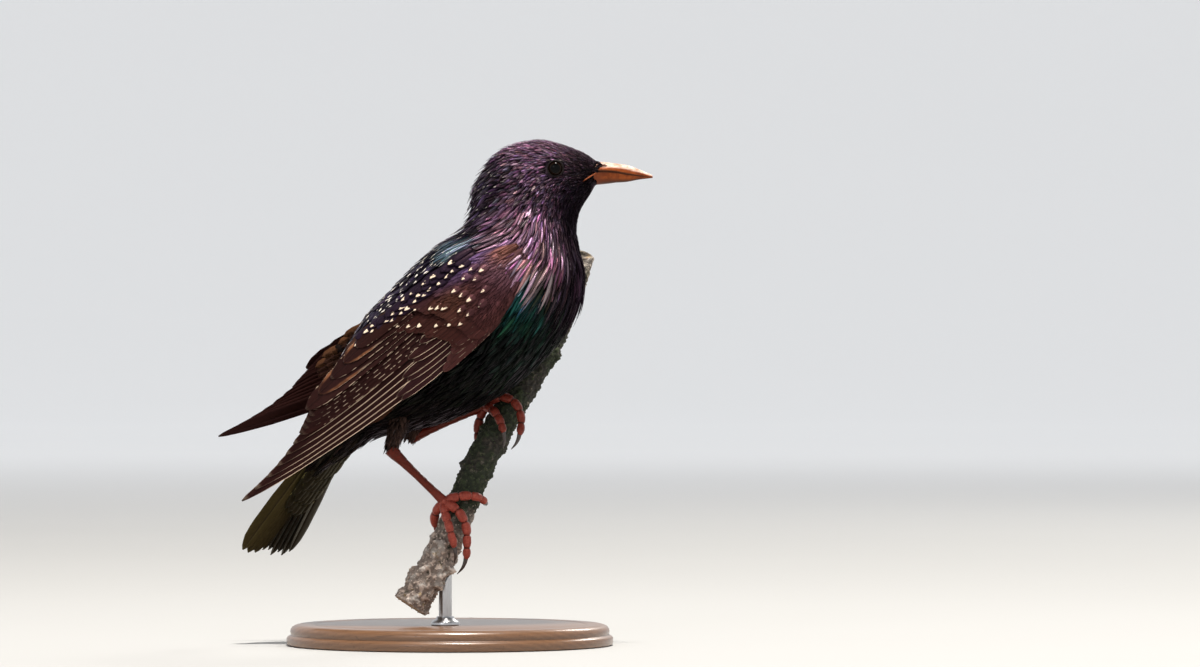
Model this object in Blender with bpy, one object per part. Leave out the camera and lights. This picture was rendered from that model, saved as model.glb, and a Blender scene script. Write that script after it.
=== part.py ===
# A common starling, life size, gripping a cut length of branch on a display stand.
# Sizes below are in millimetres; MM turns them into metres when a mesh is made.
# +X is the way the bird faces, -Y its right side, +Z up, the origin under the base.
import math

import bmesh
import bpy
from mathutils import Matrix, Vector

MM = 0.001
GAP = 0.3                  # air left between neighbouring pieces
VANE_THICKNESS = 0.56      # feather vanes of wings and tail

# The body in rings from the bill to the tail: back point x z, belly point x z, half width
BODY = [
    (55.4, 183.9, 55.2, 174.7, 4.5),       # bill root
    (49.0, 187.9, 52.6, 170.4, 7.9),       # forehead and chin
    (34.4, 192.0, 49.6, 165.7, 10.9),      # crown and eyes
    (21.3, 188.9, 48.3, 161.1, 12.4),      # back of the crown
    (14.1, 181.6, 47.9, 157.3, 13.6),      # nape and throat
    (9.9, 172.9, 48.3, 153.9, 15.2),       # hind neck
    (8.6, 163.2, 49.0, 149.3, 17.4),       # neck base
    (4.4, 156.8, 50.2, 142.5, 20.2),       # shoulders
    (-3.8, 151.6, 49.8, 134.5, 23.0),      # upper breast
    (-13.3, 144.0, 46.4, 124.3, 25.0),     # breast
    (-22.4, 134.5, 37.2, 111.0, 25.5),     # middle
    (-30.8, 125.8, 22.8, 97.7, 24.0),      # belly
    (-37.2, 115.9, 9.1, 89.7, 21.0),       # flank
    (-41.8, 108.3, -3.8, 84.4, 17.4),      # rump
    (-45.6, 100.7, -17.5, 80.9, 13.8),     # vent
    (-48.6, 95.0, -28.5, 78.7, 10.6),      # tail coverts
    (-53.2, 86.5, -36.9, 73.6, 7.4),       # tail root
    (-57.2, 78.5, -45.4, 68.4, 4.4),       # end of the flesh
]
HEAD_END, NECK_END, TORSO_END, TAIL_END = 4.6, 6.85, 14.3, 17.0
BODY_SIDES = 24

# Bill: x, ridge z, mouth z, lower edge z, half width
BILL = [
    (55.7, 183.7, 180.0, 174.9, 4.2),
    (59.0, 183.5, 180.0, 175.2, 3.7),
    (63.0, 183.0, 179.7, 175.7, 3.0),
    (67.2, 182.4, 178.9, 176.0, 2.2),
    (71.5, 180.9, 178.3, 176.8, 1.5),
    (75.4, 179.2, 177.9, 177.3, 0.8),
    (77.0, 178.4, 177.8, 177.5, 0.35),
]
NOSTRIL = dict(x=58.3, z=182.2, length=2.6, height=1.0, depth=0.7)
EYE = dict(x=40.1, z=180.9, y=9.3, radius=3.1)
LID = dict(ring=3.05, thickness=0.62, y=10.9)

# Folded wing: a leaf in its own plane, a along it from the bend, b across it upward
WING_BEND = (25.0, 142.0)
WING_FALL = math.radians(40.1)
WING_LOWER = [(-3.0, 3.0), (4.2, -5.8), (17.0, -10.9), (34.0, -13.1), (72.0, -11.0),
              (102.0, -6.4), (135.0, -0.8)]
WING_UPPER = [(-3.0, 5.0), (1.0, 10.5), (10.0, 15.6), (26.0, 20.0), (44.0, 21.0),
              (72.0, 18.0), (86.0, 13.0), (100.0, 6.9), (116.0, 2.6), (135.0, 0.8)]
WING_OUT = [(-3.0, 23.0), (6.0, 26.2), (16.0, 28.6), (30.0, 30.0), (50.0, 29.6),
            (70.0, 26.6), (90.0, 22.0), (112.0, 17.6), (135.0, 14.6)]
WING_CURL = [(-3.0, 3.5), (14.0, 8.0), (30.0, 9.5), (50.0, 10.0), (72.0, 9.0),
             (92.0, 5.0), (135.0, 1.5)]
WING_CORE_END = 80.0
# Rows of wing coverts: count, tip of the first and of the last, length, width, shingle tilt,
# and how far the roots spread as a share of the tips
COVERT_ROWS = {
    "lesser_front": (5, (13.0, -6.5), (11.0, 10.5), 9.0, 6.4, 9.0, 0.60),
    "lesser_rear": (5, (21.0, -8.6), (19.5, 13.6), 11.0, 7.2, 9.0, 0.80),
    "median": (5, (28.5, -8.8), (31.0, 14.6), 12.0, 7.4, 9.0, 0.90),
    "greater": (6, (37.0, -8.0), (50.5, 14.5), 15.0, 7.0, 10.0, 0.92),
    "alula": (2, (41.0, -11.6), (38.5, -8.8), 17.0, 4.6, 10.0, 0.88),
    "primary_coverts": (3, (63.0, -9.2), (56.0, -3.0), 19.0, 5.4, 11.0, 0.92),
}
SCAPULARS = dict(count=5, first=(25.0, 16.6), last=(70.0, 17.4), length=19.0, width=9.5)
WING_PIVOT = Vector((8.4, 0.0, 116.3))
LEFT_WING_LIFT = math.radians(14.6)
LEFT_WING_SPREAD = math.radians(5.0)
LEFT_WING_NARROW = 0.88    # the lifted wing shows less of its inner feathers

# Tail: rolled so that its right edge stands higher than its left
TAIL_ROOT = Vector((-38.0, 3.5, 89.3))
TAIL_FALL = math.radians(57.5)
TAIL_ROLL = math.radians(38.0)
TAIL_YAW = math.radians(11.0)
TAIL_FEATHERS = 12
TAIL_LENGTH = 67.5
# Tail coverts: count, reach of the tips, spread of the tips, height at root and tip
UNDER_TAIL_ROWS = [(5, 27.0, 3.0, -5.6, -5.0), (4, 38.0, 3.2, -4.4, -4.2), (3, 48.0, 3.4, -3.2, -3.4)]
UPPER_TAIL_ROWS = [(4, 24.0, 3.4, 2.4, 2.9), (5, 16.0, 3.2, 3.6, 4.0)]
# Hackles of the neck: count, ring at root, ring at tip low on the throat, and at the side
HACKLE_ROWS = [(13, 4.75, 6.25, 6.0), (15, 5.45, 7.4, 6.9)]
HACKLE_WIDTH = 5.8

# Branch: x, y, z, radius, from its lower cut end upward
BRANCH = [
    (-14.8, -14.5, 15.6, 6.9),
    (-5.8, -12.6, 29.6, 6.3),
    (0.6, -9.5, 43.4, 6.0),
    (6.0, -4.5, 56.6, 6.2),
    (12.9, 4.0, 72.2, 6.3),
    (20.1, 12.0, 85.5, 6.2),
    (28.1, 21.0, 98.8, 6.0),
    (36.1, 30.0, 112.1, 5.6),
    (42.2, 38.0, 125.4, 5.3),
    (46.7, 44.5, 136.8, 5.0),
    (50.2, 50.5, 148.2, 4.8),
]
BRANCH_SIDES, BRANCH_STEPS = 12, 18

# Legs: heel, and where along the branch each foot grips
LEGS = {
    "right": dict(hip=(-17.5, -7.0, 90.5), heel=(-22.0, -15.5, 74.4), grip_z=50.6, palm_turn=42.0),
    "left": dict(hip=(-10.5, 6.5, 92.0), heel=(-15.4, 9.5, 78.6), grip_z=86.0, palm_turn=6.0),
}
SHANK_RADIUS = 1.75
TOE_RADIUS = 1.6

# Toes from the palm: steps along the branch (mm), turns round it (degrees), lift off it (mm)
TOES = {
    "right": {
        "hallux": [(-0.5, 0, 0), (-4.0, -44, 0), (-7.5, -90, 0), (-9.0, -128, 0)],
        "inner": [(1.0, 6, 0), (3.8, 42, 0), (6.0, 80, 0.1), (6.6, 110, 0.4)],
        "middle": [(-0.5, 8, 0), (-2.2, 48, 0), (-6.0, 82, 0.4), (-11.0, 100, 1.4), (-15.5, 112, 2.4)],
        "outer": [(-1.5, 2, 0), (-5.4, 20, 0), (-9.4, 44, 0), (-14.0, 72, 0.3)],
    },
    "left": {
        "hallux": [(-0.5, 0, 0), (-4.5, -26, 0), (-9.0, -52, 0), (-12.0, -84, 0)],
        "inner": [(-1.0, 10, 0), (-3.4, 50, 0), (-6.6, 80, 0.4), (-9.6, 98, 0.9)],
        "middle": [(0.8, 8, 0), (3.4, 52, 0.2), (2.4, 92, 1.4), (-1.6, 116, 2.8), (-7.0, 128, 3.8)],
        "outer": [(2.0, 2, 0), (6.5, -4, 0), (11.0, -14, 0), (14.5, -34, 0)],
    },
}

# Stand
BASE_RADIUS, BASE_HEIGHT, BASE_BEVEL = 62.0, 8.0, 1.6
ROD_RADIUS, ROD_X, ROD_Y, ROD_TOP = 2.5, -1.5, -11.0, 38.0

COLOURS = {
    "plumage": ((0.022, 0.016, 0.028), 0.38, 0.0),
    "flight_feather": ((0.060, 0.038, 0.026), 0.50, 0.0),
    "bill_horn": ((0.62, 0.36, 0.20), 0.42, 0.0),
    "leg_skin": ((0.42, 0.10, 0.06), 0.48, 0.0),
    "claw_horn": ((0.02, 0.016, 0.014), 0.35, 0.0),
    "eye_glass": ((0.012, 0.008, 0.006), 0.08, 0.0),
    "bark": ((0.23, 0.24, 0.20), 0.90, 0.0),
    "base_wood": ((0.20, 0.10, 0.05), 0.42, 0.0),
    "rod_steel": ((0.55, 0.55, 0.56), 0.30, 1.0),
}


# Smooth values through rows

def smooth_row(rows, t):
    """Row of numbers at t, on a smooth curve through evenly numbered rows."""
    last = len(rows) - 1
    t = min(max(t, 0.0), float(last))
    i = min(int(t), last - 1)
    f = t - i
    p0, p1, p2, p3 = rows[max(i - 1, 0)], rows[i], rows[i + 1], rows[min(i + 2, last)]
    out = []
    for a, b, c, d in zip(p0, p1, p2, p3):
        slope_b, slope_c = (c - a) / 2, (d - b) / 2
        f2, f3 = f * f, f * f * f
        out.append((2 * f3 - 3 * f2 + 1) * b + (f3 - 2 * f2 + f) * slope_b
                   + (3 * f2 - 2 * f3) * c + (f3 - f2) * slope_c)
    return out


def smooth_at(pairs, x):
    """Value at x on an eased line through (x, value) pairs."""
    if x <= pairs[0][0]:
        return pairs[0][1]
    for (x0, y0), (x1, y1) in zip(pairs, pairs[1:]):
        if x <= x1:
            f = (x - x0) / (x1 - x0)
            return y0 + (y1 - y0) * f
    return pairs[-1][1]


# Meshes

def finish(bm, name, material):
    """Turns a bmesh in millimetres into one object of its own material."""
    bmesh.ops.recalc_face_normals(bm, faces=bm.faces)
    bmesh.ops.scale(bm, vec=(MM, MM, MM), verts=bm.verts)
    mesh = bpy.data.meshes.new(name)
    bm.to_mesh(mesh)
    bm.free()
    obj = bpy.data.objects.new(name, mesh)
    bpy.context.scene.collection.objects.link(obj)
    if material:
        mesh.materials.append(make_material(name, material))
    mesh.shade_smooth()
    mesh.set_sharp_from_angle(angle=math.radians(40))
    return obj


def make_material(name, kind):
    colour, roughness, metallic = COLOURS[kind]
    material = bpy.data.materials.new(name + "_" + kind)
    material.use_nodes = True
    shader = material.node_tree.nodes["Principled BSDF"]
    shader.inputs["Base Color"].default_value = (*colour, 1.0)
    shader.inputs["Roughness"].default_value = roughness
    shader.inputs["Metallic"].default_value = metallic
    return material


def loft(bm, rings):
    """Skins a list of equal rings and closes both ends with a fan."""
    rows = [[bm.verts.new(p) for p in ring] for ring in rings]
    count = len(rows[0])
    for a, b in zip(rows, rows[1:]):
        for k in range(count):
            m = (k + 1) % count
            bm.faces.new((a[k], a[m], b[m]))
            bm.faces.new((a[k], b[m], b[k]))
    for row, ring in ((rows[0], rings[0]), (rows[-1], rings[-1])):
        middle = bm.verts.new(sum((Vector(p) for p in ring), Vector()) / count)
        for k in range(count):
            bm.faces.new((row[k], row[(k + 1) % count], middle))
    return bm


def lofted(rings, name, material=None):
    return finish(loft(bmesh.new(), rings), name, material)


def tube_rings(points, radii, sides, flatten=1.0):
    """Rings round a path, turned as little as the path allows."""
    points = [Vector(p) for p in points]
    across = None
    rings = []
    for i, p in enumerate(points):
        along = (points[min(i + 1, len(points) - 1)] - points[max(i - 1, 0)]).normalized()
        if across is None:
            start = Vector((0, 1, 0)) if abs(along.y) < 0.9 else Vector((1, 0, 0))
            across = (start - along * start.dot(along)).normalized()
        else:
            across = (across - along * across.dot(along)).normalized()
        up = along.cross(across)
        ring = []
        for k in range(sides):
            angle = math.tau * k / sides
            ring.append(p + across * math.cos(angle) * radii[i]
                        + up * math.sin(angle) * radii[i] * flatten)
        rings.append(ring)
    return rings


def vane_mesh(stations, name):
    """A feather vane as a flat tapered bar; both faces are split the same way.

    Each station is a centre, the direction across, the outward direction and a half width.
    """
    bm = bmesh.new()
    rows = []
    for centre, across, out, half in stations:
        thick = VANE_THICKNESS / 2
        rows.append([bm.verts.new(centre + across * side * half + out * face * thick)
                     for side, face in ((-1, 1), (1, 1), (1, -1), (-1, -1))])
    for a, b in zip(rows, rows[1:]):
        for k, m in ((0, 1), (1, 2), (3, 2), (0, 3)):
            bm.faces.new((a[k], a[m], b[m]))
            bm.faces.new((a[k], b[m], b[k]))
    for row in (rows[0], rows[-1]):
        bm.faces.new((row[0], row[1], row[2]))
        bm.faces.new((row[0], row[2], row[3]))
    return finish(bm, name, None)


def evaluated_mesh(obj):
    graph = bpy.context.evaluated_depsgraph_get()
    return bpy.data.meshes.new_from_object(obj.evaluated_get(graph))


def apply_modifiers(obj):
    mesh = evaluated_mesh(obj)
    obj.modifiers.clear()
    obj.data = mesh


def remove_objects(objects):
    for obj in objects:
        bpy.data.objects.remove(obj)


def keep_largest(obj):
    """Leaves only the largest closed surface of a fused piece."""
    bm = bmesh.new()
    bm.from_mesh(obj.data)
    bmesh.ops.triangulate(bm, faces=bm.faces)
    bm.verts.ensure_lookup_table()
    seen = set()
    groups = []
    for vert in bm.verts:
        if vert.index in seen:
            continue
        seen.add(vert.index)
        stack, group = [vert], []
        while stack:
            v = stack.pop()
            group.append(v)
            for edge in v.link_edges:
                other = edge.other_vert(v)
                if other.index not in seen:
                    seen.add(other.index)
                    stack.append(other)
        groups.append(group)
    if len(groups) > 1:
        groups.sort(key=surface_size, reverse=True)
        loose = [v for group in groups[1:] for v in group]
        bmesh.ops.delete(bm, geom=loose, context="VERTS")
    bm.to_mesh(obj.data)
    bm.free()


def surface_size(group):
    faces = {face for vert in group for face in vert.link_faces}
    return abs(sum(f.calc_center_median().dot(f.normal) * f.calc_area() for f in faces))


def fuse(obj, pieces, solver="MANIFOLD"):
    """One union of a node's core with all the pieces that grow from it."""
    group = bpy.data.collections.new(obj.name + "_pieces")
    for piece in pieces:
        group.objects.link(piece)
    union = obj.modifiers.new("fuse", "BOOLEAN")
    union.operation = "UNION"
    union.operand_type = "COLLECTION"
    union.collection = group
    union.solver = solver
    apply_modifiers(obj)
    remove_objects(pieces)
    bpy.data.collections.remove(group)
    keep_largest(obj)


def cut(obj, cutter, solver="MANIFOLD", remove=True):
    difference = obj.modifiers.new("cut", "BOOLEAN")
    difference.operation = "DIFFERENCE"
    difference.object = cutter
    difference.solver = solver
    apply_modifiers(obj)
    if remove:
        remove_objects([cutter])
    keep_largest(obj)


def ball(name, centre, radii, rings=8, segments=14, material=None):
    bm = bmesh.new()
    bmesh.ops.create_uvsphere(bm, u_segments=segments, v_segments=rings, radius=1.0)
    bmesh.ops.transform(bm, matrix=Matrix.Translation(centre) @ Matrix.Diagonal((*radii, 1.0)),
                        verts=bm.verts)
    return finish(bm, name, material)


# Body

def body_ring(t, grow=0.0, shift=0.0):
    """Ring t of the body, grown outward and moved along the body by a small shift."""
    back_x, back_z, belly_x, belly_z, half_width = smooth_row(BODY, t)
    back, belly = Vector((back_x, 0, back_z)), Vector((belly_x, 0, belly_z))
    centre, half = (back + belly) / 2, (back - belly) / 2
    up, reach = half.normalized(), half.length + grow
    tailward = Vector((-up.z, 0, up.x))
    if tailward.x > 0:
        tailward = -tailward
    ring = []
    for k in range(BODY_SIDES):
        angle = math.tau * (k + 0.5) / BODY_SIDES
        side = math.sin(angle)
        ring.append(centre + tailward * shift + up * reach * math.cos(angle)
                    + Vector((0, (half_width + grow) * side, 0)))
    return ring


def body_length(start, end, steps, name, material=None, grow=0.0):
    """A length of the body; half the gap is taken off at each parted end."""
    rings = []
    for i in range(steps + 1):
        t = start + (end - start) * i / steps
        shift = 0.0
        if i == 0 and start > 0:
            shift = GAP / 2
        if i == steps:
            shift = -GAP / 2
        rings.append(body_ring(t, grow, shift))
    return lofted(rings, name, material)


def grown_body(name):
    """The body from the neck to the tail with the gap round it, to cut neighbours clear."""
    return lofted([body_ring(4.0 + i / 2, GAP) for i in range(27)], name)


def make_head():
    head = body_length(0.0, HEAD_END, 10, "head", "plumage")
    lids = []
    for side in (-1, 1):
        ring_points = []
        for k in range(12):
            angle = math.tau * k / 12
            ring_points.append((EYE["x"] + LID["ring"] * math.cos(angle), side * LID["y"],
                                EYE["z"] + LID["ring"] * math.sin(angle)))
        lids.append(ring_tube(ring_points, LID["thickness"], 5, "lid"))
    fuse(head, lids)
    for side in (-1, 1):
        centre = (EYE["x"], side * EYE["y"], EYE["z"])
        cut(head, ball("socket", centre, [EYE["radius"] + GAP] * 3, 8, 14))
        mouth = box("mouth", (51.4, side * 8.2, 179.95), (9.4, 5.4, 0.5))
        cut(head, mouth)
    return head


def body_place(t, turn, lift):
    """Point over the body at ring t; turn is 0 at the back and 180 at the belly."""
    back_x, back_z, belly_x, belly_z, half_width = smooth_row(BODY, t)
    back, belly = Vector((back_x, 0, back_z)), Vector((belly_x, 0, belly_z))
    centre, half = (back + belly) / 2, (back - belly) / 2
    angle = math.radians(turn)
    reach = half.length + lift
    return (centre + half.normalized() * reach * math.cos(angle)
            + Vector((0, (half_width + lift) * math.sin(angle), 0)))


def make_neck():
    """Neck with lanceolate hackles that hang over the shoulders and the upper breast."""
    neck = body_length(HEAD_END, NECK_END, 5, "neck", "plumage")
    hackles = []
    for row, (count, root_t, low_t, side_t) in enumerate(HACKLE_ROWS):
        for i in range(count):
            turn = 360.0 * (i + 0.5 * row) / count + 4.0
            side = abs(math.sin(math.radians(turn)))
            tip_t = low_t + (side_t - low_t) * side ** 3
            hackles.append(hackle(root_t, tip_t, turn, "hackle"))
    fuse(neck, hackles)
    return neck


def hackle(root_t, tip_t, turn, name):
    stations = []
    flat = 0.75 - 0.25 * math.cos(math.radians(turn))
    for f, lift, share in ((0.0, -1.3, 0.7), (0.4, 0.1, 1.0), (0.75, 0.95, 0.72), (1.0, 1.15, 0.12)):
        t = root_t + (tip_t - root_t) * f
        lift = max(lift * flat, 0.75) if f > 0.7 else lift
        centre = body_place(t, turn, lift)
        across = (body_place(t, turn + 3, lift) - body_place(t, turn - 3, lift)).normalized()
        out = (body_place(t, turn, lift + 1) - centre)
        out = (out - across * out.dot(across)).normalized()
        tilted = (across + out * 0.16).normalized()
        facing = (out - tilted * out.dot(tilted)).normalized()
        stations.append((centre, tilted, facing, HACKLE_WIDTH / 2 * share))
    return vane_mesh(stations, name)


def ring_tube(points, radius, sides, name):
    """A closed ring of round section, such as an eyelid."""
    points = [Vector(p) for p in points]
    centre = sum(points, Vector()) / len(points)
    bm = bmesh.new()
    rows = []
    for p in points:
        outward = (p - centre).normalized()
        normal = Vector((0, 1, 0))
        rows.append([bm.verts.new(p + outward * radius * math.cos(math.tau * k / sides)
                                  + normal * radius * math.sin(math.tau * k / sides))
                     for k in range(sides)])
    for i, row in enumerate(rows):
        other = rows[(i + 1) % len(rows)]
        for k in range(sides):
            m = (k + 1) % sides
            bm.faces.new((row[k], row[m], other[m], other[k]))
    return finish(bm, name, None)


def box(name, centre, size):
    bm = bmesh.new()
    bmesh.ops.create_cube(bm, size=1.0)
    bmesh.ops.transform(bm, matrix=Matrix.Translation(centre) @ Matrix.Diagonal((*size, 1.0)),
                        verts=bm.verts)
    return finish(bm, name, None)


def make_eyes():
    for side, word in ((-1, "right"), (1, "left")):
        ball("eye_" + word, (EYE["x"], side * EYE["y"], EYE["z"]), [EYE["radius"]] * 3,
             8, 14, "eye_glass")


def make_bill():
    upper_rings, lower_rings = [], []
    for x, ridge, mouth, lower, half in BILL:
        upper_rings.append(bill_ring(x, mouth + GAP / 2, ridge, half, 1))
        lower_rings.append(bill_ring(x, mouth - GAP / 2, lower, half * 0.92, -1))
    upper = lofted(upper_rings, "bill_upper", "bill_horn")
    lofted(lower_rings[:-1], "bill_lower", "bill_horn")
    for side in (-1, 1):
        centre = (NOSTRIL["x"], side * 3.1, NOSTRIL["z"])
        radii = (NOSTRIL["length"] / 2, NOSTRIL["depth"] + 0.3, NOSTRIL["height"] / 2)
        cut(upper, ball("nostril", centre, radii, 6, 10))


def bill_ring(x, mouth, edge, half, way):
    """Half an oval: flat at the mouth, arched to the ridge or the lower edge."""
    ring = []
    for k in range(9):
        angle = math.pi * k / 8
        ring.append(Vector((x, -math.cos(angle) * half,
                            mouth + (edge - mouth) * math.sin(angle) ** 0.8)))
    return ring if way > 0 else ring[::-1]


# Feathers

def feather_width(f):
    """Share of a feather's full width at f of the way from root to tip."""
    return smooth_at([(0.0, 0.42), (0.3, 0.92), (0.6, 1.0), (0.86, 0.92), (0.95, 0.66), (1.0, 0.2)], f)


def covert_width(f):
    return smooth_at([(0.0, 0.6), (0.45, 1.0), (0.78, 0.85), (1.0, 0.25)], f)


FLIGHT_STEPS = (0.0, 0.3, 0.6, 0.86, 0.96, 1.0)
COVERT_STEPS = (0.0, 0.45, 0.78, 1.0)


def feather(place, start, end, bow, height, tilt, width, steps, shape, name):
    """A vane on a curved sheet.

    place(a, b, h) gives a point on the sheet; start and end are (a, b); bow moves the middle
    across; height is (h at root, h at tip); tilt lifts the edge on the low-b side.
    """
    stations = []
    for f in steps:
        a = start[0] + (end[0] - start[0]) * f
        b = start[1] + (end[1] - start[1]) * f + bow * 4 * f * (1 - f)
        h = height[0] + (height[1] - height[0]) * f
        half = width / 2 * shape(f)
        low = place(a, b - half, h + math.tan(tilt) * half)
        high = place(a, b + half, h - math.tan(tilt) * half)
        onward = place(a + 1.0, b, h) - place(a, b, h)
        centre = (low + high) / 2
        across = (high - low).normalized()
        out = across.cross(onward).normalized()
        if out.dot(place(a, b, h + 1.0) - place(a, b, h)) < 0:
            out = -out
        stations.append((centre, across, out, (high - low).length / 2))
    return vane_mesh(stations, name)


# Wings

def wing_place(side):
    """Point on a folded wing at a along, b across and h outward; side -1 is the right wing."""
    along = Vector((-math.cos(WING_FALL), 0, -math.sin(WING_FALL)))
    across = Vector((-math.sin(WING_FALL), 0, math.cos(WING_FALL)))
    bend = Vector((WING_BEND[0], 0, WING_BEND[1]))
    lift = Matrix.Identity(3)
    if side > 0:
        lift = Matrix.Rotation(LEFT_WING_SPREAD, 3, "Z").inverted()
        lift = lift @ Matrix.Rotation(LEFT_WING_LIFT, 3, "Y")

    def place(a, b, h):
        if side > 0 and b > 0:
            b *= LEFT_WING_NARROW
        out = smooth_at(WING_OUT, a) - smooth_at(WING_CURL, a) * ((b + 5.0) / 25.0) ** 2 + h
        p = bend + along * a + across * b + Vector((0, side * out, 0))
        if side > 0:
            p = lift @ (p - WING_PIVOT) + WING_PIVOT
        return p
    return place


def wing_core(place, name):
    rings = []
    steps = 13
    for i in range(steps):
        a = -2.0 + (WING_CORE_END + 2.0) * i / (steps - 1)
        low, high = smooth_at(WING_LOWER, a) + 1.2, smooth_at(WING_UPPER, a) - 1.0
        thick = smooth_at([(0.0, 4.5), (12.0, 8.0), (42.0, 8.0), (80.0, 2.2)], a)
        ring = []
        for v, h in ((0.0, -0.9), (0.12, 0.0), (0.35, 0.0), (0.6, 0.0), (0.85, 0.0),
                     (1.0, -0.9), (0.85, -thick), (0.6, -thick), (0.35, -thick), (0.12, -thick)):
            ring.append(place(a, low + (high - low) * v, h))
        rings.append(ring)
    return lofted(rings, name, "flight_feather")


def wing_feathers(place, side):
    """Every vane of a folded wing, from the outermost primary up to the scapulars."""
    vanes = []

    def add(start, end, bow, height, tilt, width, steps, shape):
        vanes.append(feather(place, start, end, bow, height, math.radians(tilt), width,
                             steps, shape, "vane"))

    for i in range(7):
        add((46.0 + 1.5 * i, -8.6 + 1.5 * i), (135.0 - 5.6 * i, 0.0 + 0.14 * i * i),
            -1.4, (-1.5, -0.3), 15, 6.6, FLIGHT_STEPS, feather_width)
    for i in range(5):
        add((50.0, 1.6 + 2.1 * i), (100.5 - 2.6 * i, 4.6 + 1.35 * i),
            -0.6, (-0.9, 0.6), 14, 7.4, FLIGHT_STEPS, feather_width)
    for i in range(3):
        add((44.0 - 2.0 * i, 9.0 + 2.2 * i), (92.0 - 9.5 * i, 11.4 + 2.1 * i),
            1.0, (-0.6, 1.7), 13, 11.0, FLIGHT_STEPS, feather_width)
    for count, first, last, length, width, tilt, gather in COVERT_ROWS.values():
        for i in range(count):
            f = i / (count - 1)
            tip = (first[0] + (last[0] - first[0]) * f, first[1] + (last[1] - first[1]) * f)
            root = (tip[0] - length, tip[1] * gather)
            add(root, tip, 0.0, (-1.3, 0.9), tilt, width, COVERT_STEPS, covert_width)
    for i in range(SCAPULARS["count"]):
        f = i / (SCAPULARS["count"] - 1)
        tip = (SCAPULARS["first"][0] + (SCAPULARS["last"][0] - SCAPULARS["first"][0]) * f,
               SCAPULARS["first"][1] + (SCAPULARS["last"][1] - SCAPULARS["first"][1]) * f)
        root = (tip[0] - SCAPULARS["length"], tip[1] - 2.6)
        add(root, tip, 0.6, (-1.2, 2.2), 3, SCAPULARS["width"], COVERT_STEPS, covert_width)
    return vanes


def make_wing(side, word):
    place = wing_place(side)
    wing = wing_core(place, "wing_" + word)
    fuse(wing, wing_feathers(place, side))
    cut(wing, grown_body("body_space"))
    return wing


# Tail

def tail_place(a, b, h):
    """Point of the tail fan: a along it, b to the left side, h toward the back."""
    fall = Vector((-math.cos(TAIL_FALL), 0, -math.sin(TAIL_FALL)))
    back = Vector((-math.sin(TAIL_FALL), 0, math.cos(TAIL_FALL)))
    along = fall * math.cos(TAIL_YAW) + Vector((0, math.sin(TAIL_YAW), 0))
    side = Vector((0, math.cos(TAIL_YAW), 0)) - fall * math.sin(TAIL_YAW)
    left = side * math.cos(TAIL_ROLL) - back * math.sin(TAIL_ROLL)
    up = back * math.cos(TAIL_ROLL) + side * math.sin(TAIL_ROLL)
    return TAIL_ROOT + along * a + left * b + up * h


def make_tail():
    tail = body_length(TORSO_END, TAIL_END, 6, "tail", "flight_feather")
    vanes = []
    for i in range(TAIL_FEATHERS):
        k = i - (TAIL_FEATHERS - 1) / 2
        notch = 2.4 * math.exp(-(k / 1.6) ** 2)
        length = TAIL_LENGTH - notch - 0.05 * k * k - 0.45 * max(k, 0)
        over = 0.9 if k > 0 else 0.0
        tilt = math.radians(11) * (1 if k > 0 else -1)
        drop = -0.42 * abs(k)
        vanes.append(feather(tail_place, (6.0, k * 0.9), (length, k * 2.25), 0.0,
                             (drop * 0.8 + over, drop + over), -tilt, 8.4, FLIGHT_STEPS,
                             feather_width, "rectrix"))
    for count, reach, spread, root_height, tip_height in UNDER_TAIL_ROWS + UPPER_TAIL_ROWS:
        for i in range(count):
            k = i - (count - 1) / 2
            start = (min(max(reach - 24.0, 3.0), 13.0), k * spread * 0.5)
            vanes.append(feather(tail_place, start, (reach - 0.5 * k * k, k * spread), 0.0,
                                 (root_height, tip_height), math.radians(8), 5.4,
                                 COVERT_STEPS, covert_width, "tail_covert"))
    fuse(tail, vanes)
    return tail


# Branch and feet

def branch_table(steps=400):
    """Points along the branch with the distance from its lower end."""
    rows, total, before = [], 0.0, None
    for i in range(steps + 1):
        x, y, z, radius = smooth_row(BRANCH, (len(BRANCH) - 1) * i / steps)
        point = Vector((x, y, z))
        total += (point - before).length if before else 0.0
        rows.append((total, point, radius))
        before = point
    return rows


def branch_frame(table, distance):
    """Centre, radius, tangent, upper-left direction and near direction on the branch."""
    best = min(range(1, len(table) - 1), key=lambda i: abs(table[i][0] - distance))
    tangent = (table[best + 1][1] - table[best - 1][1]).normalized()
    left = Vector((-tangent.z, 0, tangent.x))
    left = (left - tangent * left.dot(tangent)).normalized()
    near = tangent.cross(left)
    if near.y > 0:
        near = -near
    return table[best][1], table[best][2], tangent, left, near


def branch_point(table, distance, turn, lift):
    centre, radius, tangent, left, near = branch_frame(table, distance)
    angle = math.radians(turn)
    return centre + (left * math.cos(angle) + near * math.sin(angle)) * (radius + lift)


def make_perch(table):
    return lofted(branch_rings(table, 0.0), "perch", "bark")


def grown_perch(table, name):
    return lofted(branch_rings(table, GAP), name)


def branch_rings(table, grow):
    rings = []
    for i in range(BRANCH_STEPS + 1):
        distance = table[-1][0] * i / BRANCH_STEPS
        rings.append([branch_point(table, distance, 360.0 * k / BRANCH_SIDES, grow)
                      for k in range(BRANCH_SIDES)])
    return rings


def grip_distance(table, z):
    return min(table, key=lambda row: abs(row[1].z - z))[0]


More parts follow.
